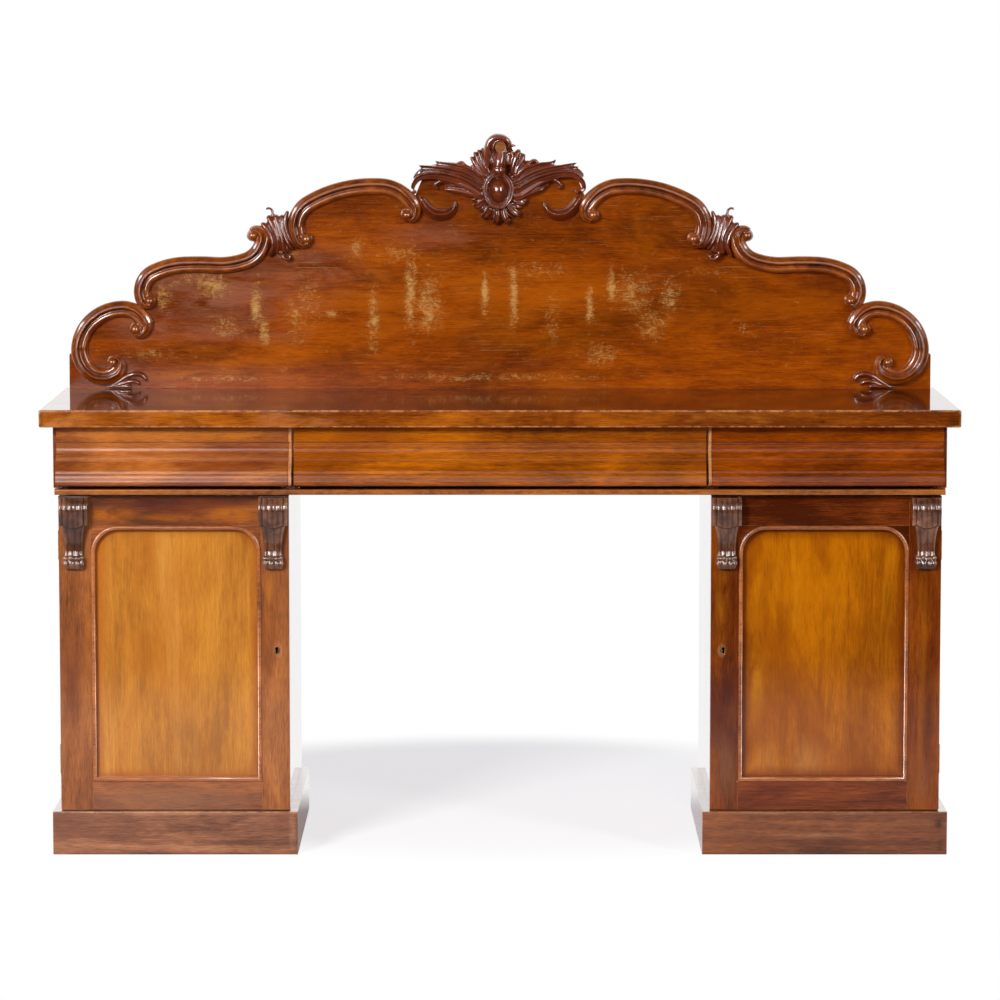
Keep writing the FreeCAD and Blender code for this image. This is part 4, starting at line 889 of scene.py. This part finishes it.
crest = {
    "cell": 0.0010,
    "trunk": [(-3, 1474, 17, 24), (-3, 1484, 21, 36), (-1, 1497, 20.5, 38), (1, 1508, 19.5, 36),
              (2, 1520, 17, 32), (2, 1532, 14, 28)],
    "bulb": (-3, 1480, 22, 20, 39.4),
    "hood": [(-27, 1482, 5, 28), (-30, 1503, 8, 33), (-29, 1524, 9.5, 36), (-24, 1543, 10, 38),
             (-13, 1553.6, 10, 39), (1, 1555.4, 9, 39), (14, 1550, 8.5, 38), (21.5, 1540, 7, 35),
             (18, 1532, 4.5, 32)],
    "inner": [(-15, 1522, 2.4, 33), (-16, 1532, 4, 35), (-11, 1543, 4.5, 36), (0, 1548, 4.5, 36),
              (11, 1543, 3, 34)],
    "tip": [(16, 1530, 4, 28), (24, 1535, 4.5, 27), (32, 1537, 3, 24), (36, 1534, 1.2, 20)],
    "ribs": [[(-23, 1469, 5, 28), (-31, 1489, 5.5, 29), (-36, 1510, 5, 27), (-39, 1523, 4.5, 24),
              (-41, 1532, 2.2, 18)],
             [(-26, 1468, 5, 27), (-36, 1486, 6, 28), (-44, 1505, 5.5, 26), (-48, 1520, 4.5, 22),
              (-50, 1528, 2.2, 17)],
             [(-29, 1466, 5, 26), (-41, 1482, 6, 27), (-51, 1500, 5.5, 25), (-56, 1514, 4.5, 21),
              (-59, 1523, 2.2, 16)],
             [(-31, 1463, 5, 25), (-45, 1476, 6, 26), (-56, 1492, 5.5, 23), (-63, 1504, 4.5, 19),
              (-66, 1512, 2.2, 15)],
             [(-34, 1459, 5, 24), (-47, 1469, 6, 25), (-57, 1479, 5.5, 23), (-64, 1488, 3, 18)],
             [(28, 1469, 6, 28), (29, 1489, 7, 30), (34, 1507, 8, 30), (41, 1521, 7, 27), (46, 1528, 4, 22)],
             [(34, 1468, 6, 27), (39, 1486, 7.5, 28), (48, 1501, 7.5, 26), (53, 1513, 6, 23),
              (54, 1519, 3, 18)],
             [(36, 1463, 6, 26), (48, 1481, 7, 26), (61, 1494, 6.5, 24), (67, 1503, 4, 20)]],
    "ground": [[(-36, 1476, 22, 22), (-45, 1500, 16, 21), (-47, 1520, 10, 18)],
               [(36, 1476, 22, 22), (43, 1503, 16, 21), (43, 1522, 10, 18)],
               [(-22, 1490, 14, 24), (-24, 1515, 12, 24), (-16, 1538, 10, 26)],
               [(20, 1490, 14, 24), (24, 1510, 12, 24), (22, 1524, 9, 24)]],
    "rootReach": 30.0,
    "oval": (-3.5, 1434.0),
    "domes": [(23.5, 32.0, 38.5), (35.0, 42.0, 26.0), (50.0, 56.0, 20.0)],
    "skirt": (-3.5, 1411.0, 52.0, 46.0, 20.5),
    "rings": [(27.5, 34.5, 2.0, 30.0), (33.0, 39.5, 4.2, 30.5)],
    "ruffle": [(-160, 62, 5, 20), (-148, 69, 8, 26), (-134, 66, 5, 19), (-122, 74, 8, 25),
               (-109, 70, 5.5, 18), (-97, 78, 8.5, 26), (-84, 72, 5, 19), (-72, 79, 8, 25),
               (-59, 70, 5.5, 18), (-48, 75, 8, 25), (-35, 66, 5, 18), (-23, 68, 7.5, 23)],
    "ruffleRoot": (32.0, 42.0),
    "curls": [(-60, 1414, 6.5, 21), (57, 1412, 6.5, 21)],
    "eye": (1.4, 1533.0, 13.0, 34.0),
}


def ovalLine(centre, halfWidth, halfHeight, half, tall, count=36):
    angles = [2 * math.pi * i / count for i in range(count + 1)]
    return [(centre[0] + halfWidth * math.cos(angle), centre[1] + halfHeight * math.sin(angle), half, tall)
            for angle in angles]


def makeCartouche(look):
    bm = bmesh.new()
    addRoll(bm, look["trunk"], roundSection)
    for line in ("hood", "inner", "tip"):
        addRoll(bm, look[line], rollSection)
    for rib in look["ribs"]:
        x, z, half, tall = rib[-1]
        addRoll(bm, rib[:-1] + [(x, z, max(half, 3.6), tall)], leafSection)
    for line in look["ground"]:
        addRoll(bm, line, rollSection)
    for hand, side in (("left", -1), ("right", 1)):  # the wings' leaves start at the oval frame
        for index, strand in enumerate(wings[hand][:7]):
            x, z, half, tall = strand[0]
            far = side * 3.0
            middle = (x + side * look["rootReach"]) / 2
            addRoll(bm, [(side * look["rootReach"], z - 4.5, half, tall), (middle, z - 2.5, half, tall),
                         (x + far, z, half, tall)], wingSection(hand, index), squareEnds="start end")
    bulbX, bulbZ, *bulbSize = look["bulb"]
    addDome(bm, (bulbX, bulbZ), *bulbSize)
    for dome in look["domes"]:
        addDome(bm, look["oval"], *dome)
    skirtX, skirtZ, *skirtSize = look["skirt"]
    addDome(bm, (skirtX, skirtZ), *skirtSize)
    for ring in look["rings"]:
        addRoll(bm, ovalLine(look["oval"], *ring), rollSection, steps=2, squareEnds="start end")
    ovalX, ovalZ = look["oval"]
    for degrees, reach, half, tall in look["ruffle"]:
        angle = math.radians(degrees)
        root = Vector((look["ruffleRoot"][0] * math.cos(angle), look["ruffleRoot"][1] * math.sin(angle)))
        tip = Vector((math.cos(angle), math.sin(angle))) * reach
        middle = root.lerp(tip, 0.6) + Vector((-tip.y, tip.x)).normalized() * (2.5 if degrees < -90 else -2.5)
        addRoll(bm, [(ovalX + root.x, ovalZ + root.y, half * 0.8, tall),
                     (ovalX + middle.x, ovalZ + middle.y, half, tall),
                     (ovalX + tip.x, ovalZ + tip.y, half * 0.7, tall - 7)], foldSection)
    for x, z, radius, tall in look["curls"]:
        addDome(bm, (x, z), radius, radius, tall)
    eyeX, eyeZ, eyeRadius, eyeTall = look["eye"]
    addDome(bm, (eyeX, eyeZ), eyeRadius + 5, eyeRadius + 5, eyeTall - 3)
    carvePiece("crestCartouche", bm, ("crest_cartouche",), "carvedWood", look["cell"], depth=0.0022)
    bm = bmesh.new()
    disc = bmesh.ops.create_cone(bm, cap_ends=True, segments=48, radius1=eyeRadius / 1000,
                                 radius2=eyeRadius / 1000, depth=0.012)["verts"]
    bmesh.ops.rotate(bm, cent=(0, 0, 0), matrix=Matrix.Rotation(math.radians(90), 3, "X"), verts=disc)
    bmesh.ops.translate(bm, vec=(eyeX / 1000, boardFace - (eyeTall - 6) / 1000, eyeZ / 1000), verts=disc)
    front = [face for face in bm.faces if len(face.verts) > 4 and face.normal.y < 0]
    bmesh.ops.inset_individual(bm, faces=front, thickness=0.002, depth=-0.0006)
    bmesh.ops.bevel(bm, geom=[edge for edge in bm.edges if edge.calc_face_angle(0) > 0.6], offset=0.0008,
                    segments=2, profile=0.5, affect="EDGES", clamp_overlap=True, material=-1)
    putPiece("crownEye", bm, ("crest_cartouche",), "eyeWood", 35)


wings = {
    "left": [
        [(-50, 1463, 12, 27), (-74, 1477, 13, 27), (-100, 1486, 12, 25), (-122, 1491, 9, 22),
         (-138, 1496, 5, 17), (-148, 1501, 0.9, 12)],
        [(-50, 1448, 13, 28), (-82, 1466, 15, 28), (-118, 1476, 14, 28), (-150, 1482, 10, 25),
         (-172, 1487, 5.5, 20), (-186, 1491, 0.9, 12)],
        [(-50, 1449, 5, 27), (-84, 1465, 5, 30), (-120, 1473, 5, 30), (-152, 1478, 4.5, 27),
         (-176, 1478, 4, 20), (-190, 1474, 0.9, 12)],
        [(-51, 1434, 10, 28), (-86, 1454, 11, 28), (-124, 1465, 10.5, 28), (-160, 1468, 9, 26),
         (-184, 1463, 7.5, 24), (-196, 1450, 6, 22), (-200, 1437, 4.5, 20)],
        [(-52, 1473, 4, 24), (-67, 1484, 4.5, 24), (-79, 1491, 4.5, 24), (-87, 1498, 4.5, 23),
         (-95, 1496, 4, 22), (-96, 1491, 3, 20), (-90, 1489, 2.2, 18)],
        [(-51, 1426, 9, 24), (-76, 1441, 9, 24), (-99, 1450, 8.5, 22), (-120, 1456, 7, 20),
         (-137, 1454, 5.5, 18), (-147, 1446, 4.5, 16), (-143, 1436, 3, 13)],
        [(-52, 1421, 7, 22), (-73, 1427, 7.5, 22), (-93, 1432, 6.5, 20), (-111, 1435, 5, 17),
         (-127, 1436, 2.8, 13)],
        [(-52, 1449, 26, 18), (-87, 1465, 23, 18), (-122, 1476, 18, 18), (-155, 1479, 14, 17),
         (-180, 1472, 11, 16), (-195, 1456, 8, 16)],
        [(-52, 1430, 14, 16), (-86, 1442, 12, 14), (-128, 1449, 9, 10)]],
    "right": [
        [(43, 1463, 12, 27), (63, 1478, 13, 27), (88, 1487, 12, 25), (109, 1493, 8, 22), (121, 1498, 4.5, 18),
         (128, 1505, 0.9, 12)],
        [(45, 1449, 13, 28), (74, 1465, 15, 28), (107, 1477, 14, 28), (138, 1485, 9, 25), (160, 1492, 5, 20),
         (176, 1497, 0.9, 12)],
        [(46, 1448, 5, 27), (76, 1464, 5, 30), (107, 1475, 5, 30), (139, 1482, 4.5, 27), (164, 1486, 4, 20),
         (180, 1488, 0.9, 12)],
        [(47, 1435, 10, 28), (77, 1452, 11, 28), (107, 1464, 10.5, 28), (142, 1472, 9.5, 27),
         (170, 1469, 8, 25), (187, 1456, 6.5, 23), (192, 1440, 5, 21), (185, 1429, 4, 19)],
        [(50, 1426, 8, 24), (73, 1441, 7.5, 24), (96, 1454, 6.5, 23), (117, 1460, 5.5, 21),
         (133, 1454, 4.5, 19), (139, 1444, 4, 17), (134, 1437, 3, 14)],
        [(48, 1419, 6, 22), (64, 1428, 7, 22), (82, 1434, 6.5, 20), (95, 1437, 4.5, 17),
         (102, 1438, 1.4, 12)],
        [(44, 1478, 4, 24), (58, 1491, 4.5, 24), (70, 1500, 4.5, 24), (79, 1503, 4.5, 23), (85, 1498, 4, 22),
         (82, 1492, 3, 20), (76, 1492, 2.2, 18)],
        [(47, 1447, 26, 18), (82, 1461, 23, 18), (117, 1473, 18, 18), (150, 1480, 14, 17),
         (174, 1475, 11, 16), (189, 1462, 8, 16)],
        [(47, 1428, 14, 16), (80, 1438, 10, 14), (112, 1452, 9, 12)]],
    "balls": {"left": (-196, 1431, 5.5, 20), "right": (176, 1431, 6.0, 20)},
    "root": 46.0,  # how far from the middle the wings' own pieces start
}


def wingSection(hand, index):  # the first four strands have their ridge on the upper side
    if index > 3:
        return leafSection
    return foldSection if hand == "left" else [(-across, height) for across, height in reversed(foldSection)]


makeCartouche(crest)
for hand in ("left", "right"):
    bm = bmesh.new()
    for index, strand in enumerate(wings[hand]):
        (x, z, half, tall), (nextX, nextZ) = strand[0], strand[1][:2]
        edge = math.copysign(wings["root"], x)
        first = (edge, z + (nextZ - z) / (nextX - x) * (edge - x), half, tall)
        addRoll(bm, [first] + strand[1:], wingSection(hand, index), squareEnds="start")
    ballX, ballZ, ballRadius, ballTall = wings["balls"][hand]
    addDome(bm, (ballX, ballZ), ballRadius, ballRadius, ballTall)
    carvePiece("crestWing" + hand.capitalize(), bm, ("crest_wing_" + hand,), "carvedWood", 0.0010,
               depth=0.0024)

crescentLine = [(-184, 1420, 9, 20), (-170, 1398, 12, 22), (-153, 1383, 14, 22), (-134, 1379, 14, 22),
                (-117, 1383, 12, 20), (-105, 1395, 7, 17), (-100, 1411, 0.9, 10)]
claspLines = [
    [(-546, 1361, 4, 20), (-536, 1352, 7.5, 24), (-526, 1336, 7, 26), (-520, 1320, 6, 27),
     (-519, 1304, 6, 26), (-524, 1292, 6, 22), (-530, 1283, 2, 16)],
    [(-531, 1378, 6, 20), (-522, 1362, 7.5, 26), (-514, 1344, 7, 29), (-508, 1327, 6, 30),
     (-506, 1308, 6.5, 28), (-509, 1288, 5.5, 20)],
    [(-513, 1380, 6.5, 20), (-508, 1362, 7, 26), (-503, 1343, 6, 29), (-498, 1325, 6, 31),
     (-494, 1307, 6, 29), (-493, 1291, 5.5, 22)],
    [(-498, 1380, 6, 20), (-498, 1363, 6, 26), (-496, 1346, 5.5, 29), (-490, 1328, 5.5, 30),
     (-482, 1312, 5.5, 28), (-473, 1300, 4, 20)],
    [(-484, 1389, 3.5, 20), (-489, 1375, 6, 26), (-490, 1357, 5.5, 29), (-486, 1338, 5.5, 29),
     (-477, 1320, 5, 26), (-463, 1301, 1.6, 18)],
    [(-512, 1374, 25, 21), (-507, 1350, 20, 25), (-502, 1330, 17, 27), (-499, 1310, 20, 25),
     (-500, 1292, 23, 19)],
    [(-522, 1372, 5, 22), (-519, 1382, 4, 21), (-522, 1391, 3.4, 20), (-530, 1394, 3.2, 19),
     (-534, 1390, 2.6, 17)],
    [(-500, 1296, 6, 24), (-498, 1286, 5, 22), (-491, 1279, 4.4, 21), (-483, 1279, 4, 20),
     (-480, 1284, 3.2, 19), (-485, 1286, 2.6, 18)]]
footLeafLines = [
    [(-895, 985, 1.7, 8), (-873, 998, 5, 14), (-856, 1009, 6, 17), (-839, 1015, 6, 18), (-824, 1013, 6, 17),
     (-814, 1004, 5, 15), (-813, 996, 2.2, 11)],
    [(-902, 984, 1.7, 7), (-873, 990, 4, 12), (-856, 996, 5, 15), (-841, 998, 5, 16), (-830, 994, 4, 14),
     (-827, 987, 2.2, 10)],
    [(-908, 984, 1.3, 6), (-880, 985, 3.5, 10), (-863, 986, 4, 12), (-851, 986, 4, 13), (-845, 984, 2.2, 10)]]
for name, nodeName, lines, section, cell in (
        ("crestCrescents", "crest_crescents", [crescentLine], crescentSection, 0.0011),
        ("clasps", "clasps", claspLines, leafSection, 0.0009),
        ("footLeaves", "foot_leaves", footLeafLines, leafSection, 0.0010)):
    bm = bmesh.new()
    for mirror in (1.0, -1.0):
        for line in lines:
            addRoll(bm, line, section, mirror=mirror)
    carvePiece(name, bm, (nodeName,), "carvedWood", cell, smoothing=5, depth=0.0022)
print("carvings made")


# corbels: a five reeded cuff over a narrower body that ends in a rolled toe

corbelLook = {
    "half": 31.6, "middle": 32.0, "cell": 0.0010,
    "cuffProfile": [(0, 20.0), (6, 25.0), (12, 29.4), (18, 32.0), (24, 33.0), (31, 32.8), (42, 31.0),
                    (52, 28.2), (60, 25.6), (68, 22.0)],
    "bodyProfile": [(50, 19.0), (64, 18.0), (80, 15.0), (100, 12.0), (118, 11.5), (127, 13.0), (133, 16.0),
                    (141, 16.5), (148, 15.5), (153, 13.5), (157, 10.0)],
    "bodyHalf": [(50, 27.0), (64, 26.0), (84, 22.5), (105, 20.5), (122, 20.0), (130, 21.0), (140, 22.5),
                 (150, 22.5), (157, 19.0)],
    "beads": [(-19, 133, 4.4, 15), (-7, 132, 4.6, 17), (6, 133, 4.2, 17), (18, 132, 4.6, 15),
              (-18, 144, 6.0, 14), (-5, 145, 6.4, 15), (8, 145, 5.4, 15), (18, 144, 5.6, 14)],
}


def readProfile(rows, place):
    for (a, low), (b, high) in zip(rows, rows[1:]):
        if place <= b:
            return low + (high - low) * (place - a) / (b - a)
    return rows[-1][1]


def reed(share, low, high, deep):
    t = (share - low) / (high - low) * 2 - 1
    return deep * math.sqrt(max(1 - t * t, 0.0)) if -1 <= t <= 1 else 0.0


def cuffPlace(share, down):  # share across from -1 to 1; down from 0 at the top to 1 at the lobed edge
    a = abs(share)
    end = 66.0 - 8.0 * (a / 0.7) ** 2 if a < 0.7 else 61.0 - 3.0 * (1 - min((a - 0.7) / 0.12, 1)) ** 2
    place = end * down
    stand = readProfile(corbelLook["cuffProfile"], place)
    if a < 0.33:
        stand += 0.5 + reed(share, -0.33, 0.33, 2.6) - 1.0 * math.exp(-(share / 0.08) ** 2)
    elif a < 0.70:
        stand += reed(a, 0.33, 0.70, 2.2) - 0.8
    else:
        stand += reed(a, 0.70, 1.04, 3.6) - 7.0
    return share * corbelLook["half"], place, stand


def bodyPlace(share, down):
    place = 50.0 + 107.0 * down
    half = readProfile(corbelLook["bodyHalf"], place)
    stand = readProfile(corbelLook["bodyProfile"], place)
    a = abs(share)
    stand += reed(share, -0.55, 0.12, 3.0) + reed(share, 0.12, 0.70, 2.2) + reed(share, -1.0, -0.55, 1.8)
    stand += reed(share, 0.70, 1.0, 1.4)
    stand -= 6.0 * max(a - 0.9, 0) / 0.1
    return share * half, place, stand


def addRelief(bm, place, acrossCount, downCount, middle, top, face):
    made = bmesh.ops.create_grid(bm, x_segments=acrossCount, y_segments=downCount, size=1.0)["verts"]
    for vert in made:
        x, down, stand = place(vert.co.x, (1 - vert.co.y) / 2)
        vert.co = (middle + x / 1000, face - stand / 1000, top - down / 1000)
    drawn = bmesh.ops.extrude_edge_only(bm, edges=openRims(made))["geom"]
    back = [item for item in drawn if isinstance(item, bmesh.types.BMVert)]
    for vert in back:
        vert.co.y = face
    bmesh.ops.holes_fill(bm, edges=openRims(back), sides=0)


def makeCorbels(hand):
    low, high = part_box("corbels_" + hand)
    face, top = high.y, high.z
    bm = bmesh.new()
    inset = corbelLook["middle"] / 1000
    for middle in (low.x + inset, high.x - inset):
        addRelief(bm, cuffPlace, 96, 40, middle, top, face)
        addRelief(bm, bodyPlace, 64, 48, middle, top, face)
        for x, down, radius, stand in corbelLook["beads"]:
            bead = bmesh.ops.create_uvsphere(bm, u_segments=20, v_segments=12, radius=radius / 1000)["verts"]
            place = (middle + x / 1000, face - stand / 1000, top - down / 1000)
            bmesh.ops.translate(bm, vec=place, verts=bead)
    bmesh.ops.recalc_face_normals(bm, faces=bm.faces)
    carvePiece("corbels" + hand.capitalize(), bm, ("corbels_" + hand,), "corbelWood", corbelLook["cell"],
               smoothing=3, reach=16, depth=0.0013, back=face)


makeCorbels("left")
makeCorbels("right")
print("corbels made")


# floor, backdrop and lights

# the windows are seen in the polish alone: sines of bearing from and to, sines of height, and strength
studio = {
    "spread": 0.24, "frontGloss": 0.02, "backGloss": 1.5, "backEdge": (-0.05, 0.35),
    "windowEdge": 0.06, "windowBack": (0.0, -0.1),
    "windows": [(-0.78, -0.52, -0.15, 0.42, 20.0), (0.60, 0.76, -0.10, 0.42, 15.0),
                (-1.0, 1.0, 0.20, 0.64, 1.0), (-0.36, -0.095, 0.06, 0.36, 4.5)],
    "floorGlow": 0.705, "floorPaint": 0.30, "floorMiddle": (0.0, 0.5), "floorReach": (1.08, 0.92),
    "floorFade": (0.70, 1.0), "floorFar": (2.0, 3.4), "floorBack": (0.2, 0.6),
    "lamps": [
        {"name": "softboxLeft", "place": (-2.9, -5.2, 3.2), "size": (1.5, 1.1), "power": 325.0},
        {"name": "softboxRight", "place": (3.8, -3.8, 2.6), "size": (0.9, 2.0), "power": 90.0},
    ],
}


def makeWorld(look):
    world = bpy.data.worlds.new("studio")
    scene.world = world
    world.use_nodes = True
    tree = world.node_tree
    tree.nodes.clear()
    way = addNode(tree, "TexCoord").outputs["Generated"]
    axes = axesOf(tree, way)
    mirrored = blendValue(tree, between(tree, axes["Y"], *look["backEdge"]), look["frontGloss"],
                          look["backGloss"])
    soft = look["windowEdge"]
    for low, high, bottom, top, strength in look["windows"]:
        across = product(tree, between(tree, axes["X"], low - soft, low),
                         between(tree, axes["X"], high + soft, high))
        upright = product(tree, between(tree, axes["Z"], bottom - soft, bottom),
                          between(tree, axes["Z"], top + soft, top))
        ahead = between(tree, axes["Y"], *look["windowBack"])
        seen = product(tree, across, upright, ahead, strength)
        mirrored = calc(tree, "ADD", mirrored, seen)
    path = addNode(tree, "LightPath").outputs
    strength = blendValue(tree, path["Is Glossy Ray"], look["spread"], mirrored)
    seen = calc(tree, "ADD", path["Is Camera Ray"], path["Is Transmission Ray"], True)
    strength = blendValue(tree, seen, strength, 1.0)
    background = addNode(tree, "Background", {"Color": (1, 1, 1, 1), "Strength": strength})
    addNode(tree, "OutputWorld", {0: background.outputs[0]})


def makeFloor(look):
    bm = bmesh.new()
    bmesh.ops.create_grid(bm, x_segments=1, y_segments=1, size=30.0)
    mesh = bpy.data.meshes.new("floor")
    bm.to_mesh(mesh)
    bm.free()
    floor = bpy.data.objects.new("floor", mesh)
    scene.collection.objects.link(floor)
    material, tree, place = newTree("floorPaint")
    grit = noise(tree, place, 40.0, 4.0)
    local = addNode(tree, "Mapping", {"Vector": place, "Location": (*look["floorMiddle"], 0),
                    "Scale": (*look["floorReach"], 1)}, vector_type="TEXTURE").outputs[0]
    reach = lengthOf(tree, local)
    away = between(tree, reach, *look["floorFade"])
    tint = ramp(tree, grit, [(0.3, (236, 235, 241)), (0.7, (246, 245, 250))])
    paint = addNode(tree, "BsdfDiffuse", {"Color": tint, "Roughness": 0.4})
    grey = (look["floorPaint"],) * 3 + (1,)
    shadowed = addNode(tree, "BsdfDiffuse", {"Color": grey, "Roughness": 0.4})
    glow = addNode(tree, "Emission", {"Color": (0.985, 0.975, 1, 1), "Strength": look["floorGlow"]})
    near = addNode(tree, "AddShader", {0: shadowed.outputs[0], 1: glow.outputs[0]})
    white = addNode(tree, "Emission", {"Color": (1, 1, 1, 1), "Strength": 1.0})
    seen = blendShader(tree, away, near, white)
    far = addNode(tree, "BsdfDiffuse", {"Color": (0.05, 0.05, 0.05, 1)})
    lighting = blendShader(tree, between(tree, lengthOf(tree, place), *look["floorFar"]), paint, far)
    path = addNode(tree, "LightPath").outputs
    back = between(tree, axesOf(tree, place)["Y"], *look["floorBack"])
    mirrored = blendShader(tree, product(tree, path["Is Glossy Ray"], back), lighting, white)
    shown = blendShader(tree, path["Is Camera Ray"], mirrored, seen)
    addNode(tree, "OutputMaterial", {0: shown.outputs[0]})
    mesh.materials.append(material)


def makeLamps(look):
    for lamp in look["lamps"]:
        data = bpy.data.lights.new(lamp["name"], "AREA")
        data.shape = "RECTANGLE"
        data.size, data.size_y = lamp["size"]
        data.energy = lamp["power"]
        light = bpy.data.objects.new(lamp["name"], data)
        light.location = lamp["place"]
        aim = Vector((0, 0, 0.85)) - Vector(lamp["place"])
        light.rotation_euler = aim.to_track_quat("-Z", "Y").to_euler()
        scene.collection.objects.link(light)


makeWorld(studio)
makeFloor(studio)
makeLamps(studio)
scene.view_settings.view_transform = "Standard"
print("studio ready")
